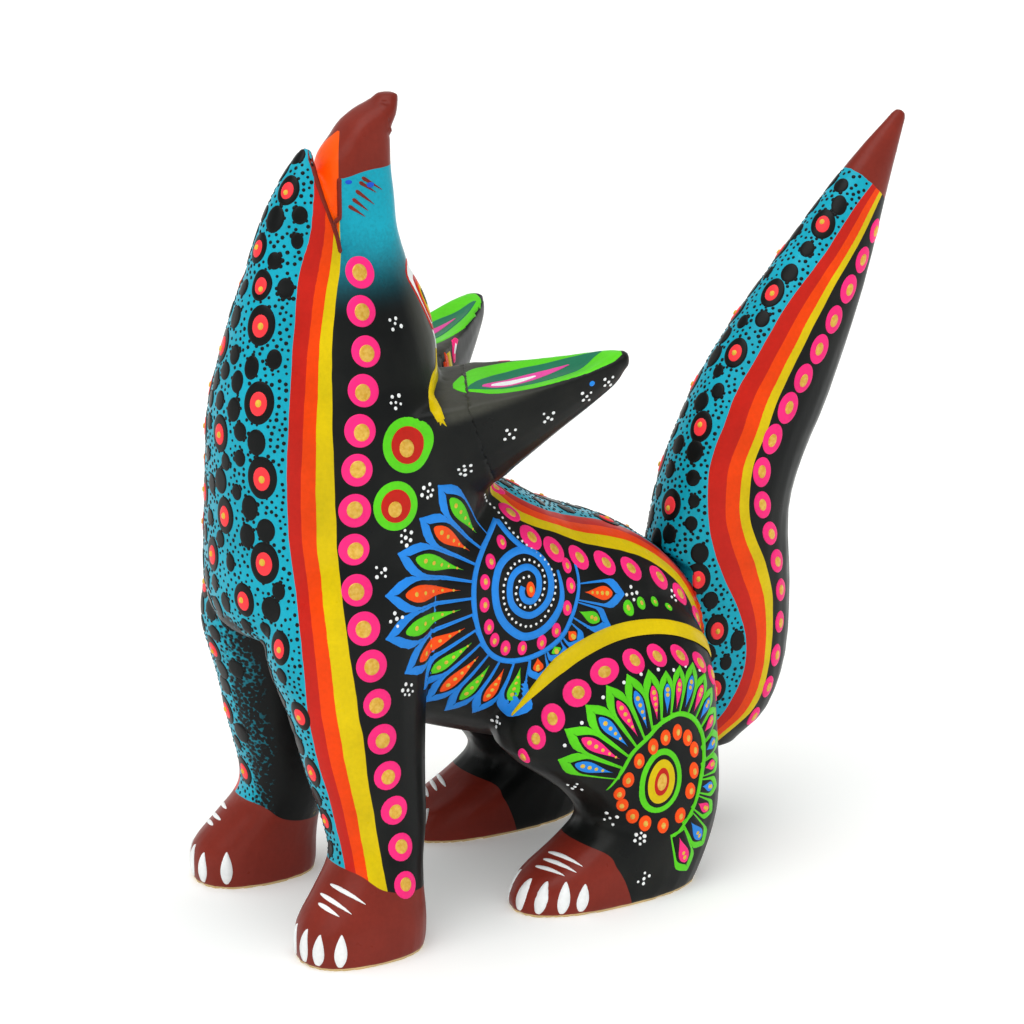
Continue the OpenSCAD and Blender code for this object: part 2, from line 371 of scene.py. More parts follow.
def ear_sheen(local):
    """How much painted sheen, grey over the black, lies on an ear's upper face, from 0 to 1."""
    w, u, h = local.T
    along = smoothstep(u, 2.5, 6) * (1 - smoothstep(u, 16, 30)) * (np.abs(w) < 12)
    return 0.8 * smoothstep(h, 0.8, 2.6) * along


# ---- Materials -------------------------------------------------------------------------------

class Graph:
    """A material's nodes, with short names for the ones used here."""

    def __init__(self, name):
        self.material = bpy.data.materials.new(name)
        self.material.use_nodes = True
        self.tree = self.material.node_tree
        self.tree.nodes.clear()
        self.shader = self.tree.nodes.new("ShaderNodeBsdfPrincipled")
        output = self.tree.nodes.new("ShaderNodeOutputMaterial")
        self.link(self.shader.outputs["BSDF"], output.inputs["Surface"])
        self.place = self.tree.nodes.new("ShaderNodeTexCoord").outputs["Object"]

    def link(self, output, socket):
        self.tree.links.new(output, socket)

    def feed(self, socket, value):
        if isinstance(value, bpy.types.NodeSocket):
            self.link(value, socket)
        else:
            socket.default_value = value

    def field(self, name):
        """One of the skin's zone fields."""
        node = self.tree.nodes.new("ShaderNodeAttribute")
        node.attribute_name = name
        return node.outputs["Fac"]

    def noise(self, size, detail=2.0, stretch=(1, 1, 1)):
        """Noise from 0 to 1 with features of about the given size in millimetres."""
        mapping = self.tree.nodes.new("ShaderNodeMapping")
        mapping.inputs["Scale"].default_value = stretch
        self.link(self.place, mapping.inputs["Vector"])
        node = self.tree.nodes.new("ShaderNodeTexNoise")
        node.inputs["Scale"].default_value = 1 / (size * MM)
        node.inputs["Detail"].default_value = detail
        self.link(mapping.outputs["Vector"], node.inputs["Vector"])
        return node.outputs["Fac"]

    def cells(self, size):
        """Distance from the nearest of scattered points about a size in millimetres apart."""
        node = self.tree.nodes.new("ShaderNodeTexVoronoi")
        node.inputs["Scale"].default_value = 1 / (size * MM)
        self.link(self.place, node.inputs["Vector"])
        return node.outputs["Distance"]

    def maths(self, kind, a, b=0.0, c=0.0):
        node = self.tree.nodes.new("ShaderNodeMath")
        node.operation = kind
        for socket, value in zip(node.inputs, (a, b, c)):
            self.feed(socket, value)
        return node.outputs[0]

    def spread(self, value, low, high, to_low=0.0, to_high=1.0):
        """A value stretched from low..high to to_low..to_high, and held at its ends."""
        node = self.tree.nodes.new("ShaderNodeMapRange")
        for socket, setting in zip(node.inputs, (value, low, high, to_low, to_high)):
            self.feed(socket, setting)
        return node.outputs["Result"]

    def mix(self, share, a, b, blend="MIX"):
        node = self.tree.nodes.new("ShaderNodeMix")
        node.data_type, node.blend_type = "RGBA", blend
        self.feed(node.inputs["Factor"], share)
        self.feed(node.inputs["A"], a)
        self.feed(node.inputs["B"], b)
        return node.outputs["Result"]

    def stops(self, value, stops):
        """Colour bands: each (start, colour) holds up to the next start."""
        node = self.tree.nodes.new("ShaderNodeValToRGB")
        ramp = node.color_ramp
        ramp.interpolation = "CONSTANT"
        while len(ramp.elements) < len(stops):
            ramp.elements.new(1.0)
        for element, (start, colour) in zip(ramp.elements, stops):
            element.position = start
            element.color = linear(colour)
        self.link(value, node.inputs["Fac"])
        return node.outputs["Color"]

    def inside(self, depth, wobble=0.25, size=4.0):
        """1 where a depth field is above 0, with the edge a hand leaves."""
        shake = self.maths("MULTIPLY_ADD", self.noise(size), wobble, -wobble / 2)
        return self.spread(self.maths("ADD", depth, shake), -0.03, 0.03)

    def shaded(self, colour):
        """A colour whose cover varies a little, as brushed paint does."""
        cover = self.spread(self.noise(9.0, 3.0), 0.3, 0.7, 0.88, 1.08)
        fine = self.spread(self.noise(0.7, 2.0), 0.3, 0.7, 0.96, 1.04)
        shade = self.maths("MULTIPLY", cover, fine)
        tone = self.tree.nodes.new("ShaderNodeCombineColor")
        for socket in tone.inputs:
            self.link(shade, socket)
        return self.mix(1.0, colour, tone.outputs[0], "MULTIPLY")

    def relief(self, strength):
        """Brush strokes and wood grain as a normal."""
        strokes = self.noise(1.6, 3.0, (1.0, 1.0, 0.22))
        grain = self.noise(0.5, 2.0, (1.0, 1.0, 0.12))
        bump = self.tree.nodes.new("ShaderNodeBump")
        bump.inputs["Strength"].default_value = strength
        bump.inputs["Distance"].default_value = 0.25 * MM
        self.link(self.maths("MULTIPLY_ADD", grain, 0.35, strokes), bump.inputs["Height"])
        return bump.outputs["Normal"]

    def brushed(self, colour, roughness=0.32, strength=0.1, shine=0.14):
        """Finishes a paint: uneven cover, satin gloss, and brush and wood relief."""
        self.link(self.shaded(colour), self.shader.inputs["Base Color"])
        gloss = self.spread(self.noise(5.0, 3.0), 0.3, 0.7, roughness - 0.05, roughness + 0.08)
        self.link(gloss, self.shader.inputs["Roughness"])
        self.link(self.relief(strength), self.shader.inputs["Normal"])
        self.shader.inputs["Specular IOR Level"].default_value = shine
        return self.material


def band_colour(g, under):
    """Turquoise, then red, orange and yellow stripes along the band field, over what is under."""
    wander = g.maths("MULTIPLY_ADD", g.noise(9.0), 0.09, -0.045)
    field = g.maths("ADD", g.field("band"), wander)
    # The ramp runs from -1 to 2 on the field, so the band itself is its middle third.
    stripes = g.stops(g.spread(field, -1, 2), [
        (0.0, "teal"), (3 / 9, "red"), (4 / 9, "orange"), (5 / 9, "yellow")])
    thin = g.spread(g.noise(5.0, 4.0, (1, 1, 0.3)), 0.52, 0.75, 0.0, 0.28)
    in_yellow = g.spread(field, 0.66, 0.68)
    stripes = g.mix(g.maths("MULTIPLY", thin, in_yellow), stripes, linear("olive"))
    return g.mix(g.spread(field, 0.996, 1.004, 1.0, 0.0), under, stripes)


def black_ground(g):
    """The black coat, a little greyer and browner where it is thin."""
    worn = g.spread(g.noise(14.0, 3.0), 0.45, 0.8, 0.0, 0.16)
    return g.mix(worn, linear("black"), linear("grey"))


def spray(g, field):
    """1 inside a sprayed shadow, breaking up into fine grains towards its edge."""
    grains = g.spread(g.cells(0.7), 0.0, 0.75, 0.5, -0.5)
    depth = g.maths("ADD", g.maths("MULTIPLY", g.field(field), 0.17), grains)
    return g.spread(depth, -0.3, 0.3)


def carving_material():
    """Black with a painted sheen at the ear roots, shading to turquoise on the snout, with stripes, painted
    shade between the front legs, brown, the mouth and bare soles.
    """
    g = Graph("carving_paint")
    # Painted sheen: grey over the black on the upper faces of the ear roots
    colour = g.mix(g.field("face"), black_ground(g), linear("grey"))
    speckle = g.spread(g.noise(0.5, 2.0), 0.3, 0.7, -0.12, 0.12)
    haze = g.maths("MULTIPLY_ADD", g.field("snout"), speckle, g.field("snout"))
    colour = g.mix(haze, colour, linear("teal"))
    colour = band_colour(g, colour)
    # Painted shade: black sprayed over the inner legs and under the chest
    colour = g.mix(spray(g, "shade"), colour, linear("black"))
    colour = g.mix(g.inside(g.field("brown")), colour, linear("brown"))
    colour = g.mix(g.inside(g.field("mouth"), 0.1), colour, linear("palate"))
    colour = g.mix(g.inside(g.field("sole"), 0.2), colour, linear("wood"))
    return g.brushed(colour)


def tail_material():
    """Black and turquoise with stripes between them, and a brown tip."""
    g = Graph("tail_paint")
    colour = band_colour(g, black_ground(g))
    colour = g.mix(g.inside(g.field("brown"), 0.5, 1.5), colour, linear("brown"))
    return g.brushed(colour)


def ear_material():
    g = Graph("ear_paint")
    # Painted sheen: grey over the black on the ear's upper face
    return g.brushed(g.mix(g.field("face"), black_ground(g), linear("grey")))


def mark_material(name):
    return Graph(name + "_paint").brushed(linear(name), 0.33, 0.06)


def gold_material():
    """Gold paint with fine flakes."""
    g = Graph("gold_paint")
    flakes = g.spread(g.noise(0.6, 3.0), 0.35, 0.65)
    colour = g.mix(flakes, linear("gold"), [0.80, 0.50, 0.09, 1.0])
    g.shader.inputs["Metallic"].default_value = 0.35
    return g.brushed(colour, 0.36, 0.12, 0.4)


def peg_material():
    """Bare turned wood with fine rings and end grain."""
    g = Graph("bare_wood")
    wave = g.tree.nodes.new("ShaderNodeTexWave")
    wave.wave_type = "RINGS"
    wave.inputs["Scale"].default_value = 260
    wave.inputs["Distortion"].default_value = 3.0
    wave.inputs["Detail"].default_value = 3.0
    g.link(g.place, wave.inputs["Vector"])
    colour = g.mix(wave.outputs["Fac"], linear("wood"), [0.50, 0.33, 0.16, 1.0])
    return g.brushed(colour, 0.6, 0.3)


# ---- Widths of strokes and patches along their length ------------------------------------------

def round_end(share):
    """An oval or a round-ended stroke."""
    return np.sqrt(np.clip(1 - (2 * share - 1) ** 2, 0, 1))


def blade(share):
    """A claw or a brush flick: pointed at both ends and widest past the middle."""
    return np.clip(np.sin(math.pi * share ** 0.75), 0, 1) ** 0.8


def claw(share):
    """A claw: a point at its root and a wide round end on the floor."""
    return np.clip(np.sin(math.pi * np.clip(share, 0, 1) ** 1.25), 0, 1) ** 0.62


def flick(share):
    """A flick that starts thick and ends in a hair."""
    return np.clip(share * 7, 0, 1) ** 0.5 * (1 - share) ** 0.9 + 0.02


def even(share):
    """A line of one width with round ends."""
    return np.sqrt(np.clip(np.minimum(share, 1 - share) / 0.02, 0, 1))


def drop(share):
    """A drop that starts in a point and ends round."""
    return np.sin(math.pi * np.clip(share, 0, 1) ** 1.7) ** 0.7


def petal(share, shoulder=0.72):
    """Even up to the shoulder, then drawn in to a pointed tip."""
    past = np.clip((share - shoulder) / (1 - shoulder), 0, 1)
    return np.cos(past * math.pi / 2) ** 1.25


# ---- Marks -----------------------------------------------------------------------------------

# A sheet leaves out faces longer than this, which would bridge from one part to another, and its
# rim lies this far under the skin.
LONGEST_SIDE = 2.6
RIM_SUNK = 0.05


class Marks:
    """Marks on one skin, gathered by colour. While both is set, each mark is also made on the
    other side of x = 0."""

    def __init__(self, skin, seed, both=False):
        self.skin = skin
        self.both = both
        self.colours = {}
        self.random = random.Random(seed)

    def add(self, colour, points, faces):
        points = np.array([tuple(p) for p in points])
        bucket = self.colours.setdefault(colour, ([], []))
        for side in ((1, -1) if self.both else (1,)):
            start = len(bucket[0])
            bucket[0].extend((points * (side, 1, 1)).tolist())
            turned = faces if side == 1 else [tuple(reversed(f)) for f in faces]
            bucket[1].extend(tuple(start + i for i in f) for f in turned)

    def lifted(self, spot, normal, height):
        place, found = self.skin.under(spot, normal)
        return place + found * height

    def disc(self, colour, centre, wide, tall=None, height=0.14, up=UP, lift=0.0, small=False):
        """A low dome, wide across and tall along the up direction."""
        tall = tall or wide
        centre, normal = self.skin.near(centre)
        u, v = tangents(normal, up)
        size = max(wide, tall)
        sides = 7 if small else 12 if size < 0.7 else 20 if size < 2.6 else 40
        # Each level is a share of the radius and a share of the height
        levels = [(1.0, -0.06), (0.68, 0.85)]
        if size >= 0.7:
            rings = int(math.ceil(size / 0.6))
            levels = [(1.0, -0.06), (0.94, 0.6)]
            levels += [(0.86 * k / rings, 1 - 0.15 * (k / rings) ** 2) for k in range(rings, 0, -1)]
        points, faces = [], []
        for share, level in levels:
            for k in range(sides):
                turn = 2 * math.pi * k / sides
                shift = u * (wide * share * math.cos(turn)) + v * (tall * share * math.sin(turn))
                points.append(self.lifted(centre + shift, normal, lift + level * height))
        points.append(self.lifted(centre, normal, lift + height))
        for ring in range(len(levels) - 1):
            for k in range(sides):
                a, b = ring * sides + k, ring * sides + (k + 1) % sides
                faces.append((b, a, a + sides, b + sides))
        last = (len(levels) - 1) * sides
        faces += [(last + (k + 1) % sides, last + k, len(points) - 1) for k in range(sides)]
        self.add(colour, points, faces)

    def sheet(self, colour, grid, height=0.1, lift=0.0):
        """A patch through a grid of (place, normal) pairs, with its rim sunk into the skin."""
        rows, lanes = len(grid), len(grid[0])
        points, faces = [], []
        for i, row in enumerate(grid):
            for k, (place, normal) in enumerate(row):
                rim = i in (0, rows - 1) or k in (0, lanes - 1)
                points.append(place + normal * (lift - RIM_SUNK if rim else lift + height))
        for i in range(rows - 1):
            for k in range(lanes - 1):
                a = i * lanes + k
                face = (a, a + 1, a + lanes + 1, a + lanes)
                corners = [points[c] for c in face]
                if max((corners[c] - corners[c - 1]).length for c in range(4)) < LONGEST_SIDE:
                    faces.append(face)
        self.add(colour, points, faces)

    def stroke(self, colour, path, width, profile=round_end, height=0.1, lift=0.0, step=0.45):
        """A brush stroke along a path of points, as wide as the profile says."""
        line, share = resampled(path, step)
        spots = [self.skin.near(p) for p in line]
        inner = max(1, int(math.ceil(width / 1.2)))
        across = [-1] + [0.88 * (2 * i / inner - 1) for i in range(inner + 1)] + [1]
        widths = profile(share)
        grid = []
        for i, (place, normal) in enumerate(spots):
            along = spots[min(i + 1, len(spots) - 1)][0] - spots[max(i - 1, 0)][0]
            side = along.cross(normal).normalized()
            half = width / 2 * max(float(widths[i]), 0.03)
            grid.append([self.skin.under(place + side * (a * half), normal) for a in across])
        self.sheet(colour, grid, height, lift)

    def pieces(self, body, prefix):
        """One piece for each colour used. A colour's name may have a tail, as black_dots has."""
        for colour, (points, faces) in self.colours.items():
            obj = new_object(f"{prefix}_{colour}", points, faces)
            obj.data.materials.append(mark_materials[colour.split("_")[0]])
            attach(obj, body)

    # Motifs made of several marks

    def eye_disc(self, centre, wide, tall, core=0.5, up=UP, outer="pink"):
        """A disc of one colour with a raised dot of gold a little off its middle."""
        r = self.random
        grow = 1 + r.uniform(-0.05, 0.05)
        self.disc(outer, centre, wide * grow, tall * grow, 0.2, up)
        place, normal = self.skin.near(centre)
        shift = Vector((0, r.uniform(-0.1, 0.1) * wide, r.uniform(-0.14, 0.06) * tall))
        self.disc("gold", place + shift, wide * core, tall * core * 1.05, 0.16, up, 0.17)

    def cluster(self, centre, count, r=0.32):
        """A loose rosette of white dots."""
        place, normal = self.skin.near(centre)
        u, v = tangents(normal)
        turn = self.random.uniform(0, 6)
        spots = [Vector((0, 0, 0))]
        for k in range(count - 1):
            a = turn + (k + self.random.uniform(-0.15, 0.15)) * 2 * math.pi / (count - 1)
            spots.append((u * math.cos(a) + v * math.sin(a)) * self.random.uniform(0.85, 1.35))
        for spot in spots:
            size = r * self.random.uniform(0.75, 1.2)
            self.disc("white", place + spot, size)

    def row(self, path, sizes, core=0.5, turned=0.0):
        """Discs spaced along a path. Each size is (across, along the path); turned leans them
        from the path's direction, in degrees."""
        line, share = resampled(path, 0.2)
        for k, (wide, tall) in enumerate(sizes):
            i = int(round(k / (len(sizes) - 1) * (len(line) - 1)))
            ahead = Vector(line[min(i + 4, len(line) - 1)] - line[max(i - 4, 0)]).normalized()
            normal = self.skin.near(line[i])[1]
            up = Matrix.Rotation(math.radians(turned), 3, normal) @ ahead
            self.eye_disc(line[i], wide, tall, core, up)

    def coral_oval(self, centre, size):
        """A black oval with a coral one on it, and a raised bead of gold paint."""
        r = self.random
        place, normal = self.skin.near(centre)
        self.disc("black", place, 2.85 * size, 3.75 * size, 0.16)
        coral = place + Vector((0, 0, -0.15))
        self.disc("coral", coral, 1.6 * size, 2.1 * size, 0.14, lift=0.14)
        bead = place + Vector((r.uniform(-0.3, 0.3), 0, r.uniform(-0.7, 0.3)))
        self.disc("straw", bead, 0.6 * size, 0.72 * size, 0.34, lift=0.22)

    def blob(self, centre, size):
        """A black blot with small ones at its rim."""
        r = self.random
        place, normal = self.skin.near(centre)
        u, v = tangents(normal)
        wide, tall = size * r.uniform(0.85, 1), size * r.uniform(1, 1.25)
        self.disc("black", place, wide, tall, 0.17)
        for k in range(r.randint(2, 6)):
            a = r.uniform(0, 2 * math.pi)
            spot = place + (u * math.cos(a) * wide + v * math.sin(a) * tall) * 1.02
            self.disc("black", spot, r.uniform(0.26, 0.42), height=0.13)


# ---- Speckle on the turquoise ------------------------------------------------------------------

def apart(spots, gap):
    """The spots that are no closer than a gap to an earlier one."""
    kept, cells = [], {}
    steps = [(i, j, k) for i in (-1, 0, 1) for j in (-1, 0, 1) for k in (-1, 0, 1)]
    for x, y, z in spots.tolist():
        i, j, k = int(x // gap), int(y // gap), int(z // gap)
        near = [q for a, b, c in steps for q in cells.get((i + a, j + b, k + c), ())]
        if all((x - q[0]) ** 2 + (y - q[1]) ** 2 + (z - q[2]) ** 2 > gap * gap for q in near):
            cells.setdefault((i, j, k), []).append((x, y, z))
            kept.append((x, y, z))
    return kept


def scattered(skin, zones, gap, tries, keep_off, seed, allowed):
    """Random spots on a skin, no closer than a gap to each other or to what they keep off, where
    the zones allow it."""
    picker = np.random.default_rng(seed)
    corners = np.array([p.vertices[:3] for p in skin.obj.data.polygons])
    a, b, c = (skin.points[corners[:, k]] for k in range(3))
    area = np.linalg.norm(np.cross(b - a, c - a), axis=1)
    middle = (a + b + c) / 3
    area = area * allowed(zones(middle), middle)
    chosen = picker.choice(len(area), tries, p=area / area.sum())
    u, v = picker.random((2, tries))
    over = u + v > 1
    u[over], v[over] = 1 - u[over], 1 - v[over]
    spots = a[chosen] + (b - a)[chosen] * u[:, None] + (c - a)[chosen] * v[:, None]
    spots = spots[allowed(zones(spots), spots)]
    for centre, reach in keep_off:
        spots = spots[np.linalg.norm(spots - centre, axis=1) > reach]
    return apart(spots, gap)


def speckled(marks, zones, ovals, blob_gap, allowed, seed, tries):
    """Fills turquoise areas: coral ovals where they are given, then blots, then fine dots."""
    skin, r = marks.skin, marks.random
    keep_off = []
    for centre, size in ovals:
        marks.coral_oval(centre, size)
        keep_off.append((np.array(centre), 3.6 * size))
    off_blobs = [(c, reach + 1.5) for c, reach in keep_off]
    blobs = scattered(skin, zones, blob_gap, 3000, off_blobs, seed,
                      lambda f, p: allowed(f, p, 1.6))
    for spot in blobs:
        size = r.uniform(1.2, 1.95)
        marks.blob(spot, size)
        keep_off.append((np.array(spot), size + 0.6))
    dots = scattered(skin, zones, 0.95, tries, keep_off, seed + 1,
                     lambda f, p: allowed(f, p, 0.3))
    for spot in dots:
        marks.disc("black_dots", spot, r.uniform(0.24, 0.4), height=0.1, small=True)


# ---- The skins -------------------------------------------------------------------------------

SOFT_BY_HEIGHT = [
    (0, 0), (2, 0.1), (12, 0.35), (22, 1), (76, 1), (96, 0.8), (108, 0.6), (118, 0.5),
    (128, 0.6), (140, 0.6)]
TAIL_SEAT = 20.5
# How much is pared off the snout's back, by height
SNOUT_PARED = [(112, 0), (120, 0.4), (131.5, 0.4), (133, 0.5), (134.2, 0.8), (135.4, 0.45), (137, 0)]
# How far the tail reaches into its seat, and half of how far an ear does, which closes the seam
SEAT_OVERLAP = 0.3


def on_ear_root(w, h):
    """Where a place in an ear's own frame is no wider or lower than the ear's root."""
    return (np.abs(w) < EAR_ROOT_HALF) & (h > EAR_ROOT_FLOOR)


def near_ear_seat(p):
    """From 0 on the head to 1 at an ear's seat."""
    w, u, h = ear_local(p, np.where(p[:, 0] > 0, 1.0, -1.0)).T
    return smoothstep(u, EAR_SEAT - 2.2, EAR_SEAT - 0.4) * on_ear_root(w, h)


def carving_softness(p):
    """How much each place on the carving is sanded: not at the seats, and less at the paws."""
    seats = np.maximum(smoothstep(p[:, 1], TAIL_SEAT - 2, TAIL_SEAT - 0.2), near_ear_seat(p))
    return straight(p[:, 2], SOFT_BY_HEIGHT) * (1 - seats)


def tail_softness(p):
    """The tail is sanded all over but at its seat and its tip."""
    return 0.8 * smoothstep(p[:, 1], 20.8, 23) * (1 - smoothstep(p[:, 2], 110, 124))


def carving_shape(p):
    """Pares the back of the snout, and keeps the soles and the seats of the ears and tail flat."""
    p[:, 1] -= straight(p[:, 2], SNOUT_PARED) * smoothstep(p[:, 1], -46, -41) * (p[:, 2] > 112)
    p[p[:, 2] < 0.4, 2] = CAD_LO[2]
    seat = (p[:, 1] > TAIL_SEAT - 0.55) & (p[:, 1] < TAIL_SEAT + 0.3) & (p[:, 2] < 52)
    p[seat, 1] = TAIL_SEAT
    for side in (1, -1):
        local = ear_local(p, side)
        w, u, h = local.T
        seat = (u > EAR_SEAT - 0.6) & (u < EAR_SEAT + 0.3) & on_ear_root(w, h)
        local[:, 1] = EAR_SEAT
        p[seat] = ear_points(local[seat], side)
    return p


def tail_shape(p):
    """Moves the tail's seat a little into the rump, flat."""
    seat = (p[:, 1] < TAIL_SEAT + 0.55) & (p[:, 2] < 51)
    p[seat, 1] = TAIL_SEAT - SEAT_OVERLAP
    return p


# An ear's root swells by this share, about this height in the ear's own frame
COLLAR_SWELL = 0.018
COLLAR_H = -5


def ear_shape(side):
    """Hollows an ear's upper face a little, as the knife does, and swells and stretches its root
    over the seam."""
    def shape(p):
        local = ear_local(p, side)
        w, u, h = local.T
        along = smoothstep(u, EAR_SEAT + 0.5, 16) * (1 - smoothstep(u, 27, 34))
        half = curve(u, [(0, 9.6), (13, 8.2), (20, 6.5), (27, 4.6), (35, 1.5)])
        bowl = np.clip(1 - (w / half) ** 2, 0, 1) ** 1.5
        local[:, 2] -= 1.1 * along * bowl * smoothstep(h, -1.0, 0.6)
        collar = 1 + COLLAR_SWELL * (1 - smoothstep(u, EAR_SEAT + 1, EAR_SEAT + 4))
        local[:, 0] *= collar
        local[:, 2] = (local[:, 2] - COLLAR_H) * collar + COLLAR_H
        short_of = np.clip(EAR_SEAT + 2 - u, 0, None)
        local[:, 1] -= SEAT_OVERLAP * short_of
        return ear_points(local, side)
    return shape


def ear_softness(p):
    """The ears are sanded evenly."""
    return np.full(len(p), 0.5)


carving = Skin("body_carving", "coyote_body", voxel=0.66, softness=carving_softness, rounds=24,
               shape=carving_shape)
tail = Skin("tail", "tail_blade", voxel=0.6, softness=tail_softness, rounds=14, shape=tail_shape)
ears = {
    side: Skin(f"ear_{name}", f"ear_{name}_leaf", voxel=0.45, softness=ear_softness, rounds=10,
               shape=ear_shape(side))
    for side, name in ((1, "left"), (-1, "right"))
}

for field, values in carving_zones(carving.points).items():
    carving.zone(field, values)
for field, values in tail_zones(tail.points).items():
    tail.zone(field, values)
for side, ear in ears.items():
    # Painted sheen on each ear's upper face
    ear.zone("face", ear_sheen(ear_local(ear.points, side)))

mark_materials = {name: mark_material(name) for name in COLOURS if name not in GROUNDS}
mark_materials["gold"] = gold_material()

ear_paint = ear_material()
for skin, body, slot, material in (
        (carving, "carving", "painted_carving", carving_material()),
        (tail, "tail", "painted_tail", tail_material()),
        (ears[1], "ear_left", "painted_ear", ear_paint),
        (ears[-1], "ear_right", "painted_ear", ear_paint)):
    skin.obj.data.materials.append(material)
    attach(skin.obj, body)

wood = peg_material()
for node in ("tail_peg", "ear_left_peg", "ear_right_peg"):
    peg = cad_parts[node]
    peg.data.materials.clear()
    peg.data.materials.append(wood)


# ---- Painting the carving: rows of discs -------------------------------------------------------

paint = Marks(carving, 7, True)

NECK_ROW = [
    (8.4, -46, 112.9), (10.7, -47.1, 107.4), (13, -47.4, 101.6), (16.7, -50.6, 89.9),
    (18.4, -52.8, 76.7), (20.6, -53.7, 62.8), (23.1, -52.4, 49.9), (23.4, -50.2, 33),
    (24, -48, 18.5), (25.8, -48.1, 12.5)]
TARGETS = (((17.8, -42.6, 85.6), 4.6), ((19.3, -45.7, 76.1), 4.1))
SADDLE_ROW = [
    (8.6, -21.0, 72.9), (13, -20.6, 69.7), (15.6, -18, 65.5), (16, -13.7, 62.8),
    (15.5, -8.5, 60.4), (15.2, -3, 58.5), (15, 2.5, 56.5), (14.3, 8.7, 53.7), (13.8, 13.3, 49.7),
    (12.7, 17.6, 44.6)]
HAUNCH_ARC = [
    (18.3, -23.3, 35.4), (20.2, -19.9, 40), (20.9, -15.4, 43.9), (21.1, -9.6, 46.5),
    (20.9, -3.5, 47.7), (20.8, 4.7, 47.2), (20.1, 12.5, 44.1), (18, 17.5, 40)]
# Each pink oval under the arc: its place, then its size across and tall
HAUNCH_ROW = (
    ((20.5, -22.2, 28.5), 1.1, 1.8), ((22.7, -21.1, 32.4), 1.7, 2.2),
    ((23.7, -18.4, 35.8), 1.95, 2.4), ((24.2, -14, 39.6), 2.5, 2.4), ((24.2, -8.5, 42.5), 2.7, 2.1),
    ((24.2, -2.7, 43.3), 2.0, 2.4), ((23.9, 2.2, 43.4), 1.75, 2.4), ((23.5, 7.1, 42.4), 1.5, 2.45),
    ((22.8, 11.8, 40.1), 1.4, 2.4), ((21.5, 15.2, 36.8), 1.35, 2.2), ((19.4, 17.4, 32.6), 1.3, 1.9))
GREEN_DOTS = (
    ((18.1, -0.1, 50.6), 1.3), ((17.7, 2.8, 50.9), 1.05), ((17.3, 5.9, 50.6), 0.9),
    ((17.5, 8.6, 49.2), 0.75))
CLUSTERS = (
    (11.3, -41.1, 104.4), (16.1, -43.6, 92.6), (18.4, -32.3, 80), (18.6, -39.4, 77.5),
    (19.7, -44.2, 70.6), (20.4, -49.1, 65.6), (20.6, -47.4, 57.6), (22.7, -45.7, 45.4),
    (16.9, 1.2, 52.6), (14.8, 11.5, 50), (23.5, -13.9, 22.4), (24.5, -7.4, 15.7),
    (28.2, -2.7, 4.8), (15, -24.2, 33.5), (27, -3, 12))


def paint_neck():
    """Pink discs beside the yellow stripe from the snout to the paw, and two green targets."""
    sizes = [(2.75 - 0.03 * max(0, k - 9) ** 1.4,) * 2 for k in range(17)]
    paint.row(NECK_ROW, sizes)
    for centre, size in TARGETS:
        paint.disc("green", centre, size, height=0.12)
        paint.disc("red", centre, size * 0.68, height=0.12, lift=0.1)
        core = Vector(centre) + Vector((0, -0.3, -0.5))
        paint.disc("gold", core, size * 0.31, size * 0.33, 0.16, lift=0.18)


def paint_saddle():
    """Pink ovals beside the saddle's yellow stripe."""
    sizes = [(1.2, 2.2), (1.5, 2.4)] + [(1.85, 2.5)] * 6 + [(1.8, 2.4), (1.6, 2.3)]
    for centre, (wide, tall) in zip(SADDLE_ROW, sizes):
        paint.eye_disc(centre, wide, tall, 0.42, (0, -0.45, 0.9))


def arc_width(share):
    """The arc starts as a hair and fills out over its first third."""
    return np.clip(0.1 + 3.6 * share, 0, 1)


def paint_haunch():
    """Yellow arc over the thigh, with pink ovals under it and green dots over it."""
    paint.stroke("yellow", HAUNCH_ARC, 2.9, arc_width, 0.12, 0.2)
    for k, (centre, wide, tall) in enumerate(HAUNCH_ROW):
        paint.eye_disc(centre, wide, tall, 0.45, (0, -0.1 - 0.07 * k, 1))
    for centre, size in GREEN_DOTS:
        paint.eye_disc(centre, size * 0.8, size * 1.1, 0.4, outer="green")


def paint_clusters():
    """White rosettes on the black."""
    for centre in CLUSTERS:
        paint.cluster(centre, paint.random.choice((5, 6, 7)))


paint_neck()
paint_saddle()
paint_haunch()
paint_clusters()

# ---- Painting the carving: the two flowers -----------------------------------------------------


# Half of a petal's greatest width, in degrees
WIDEST_PETAL = 8.2


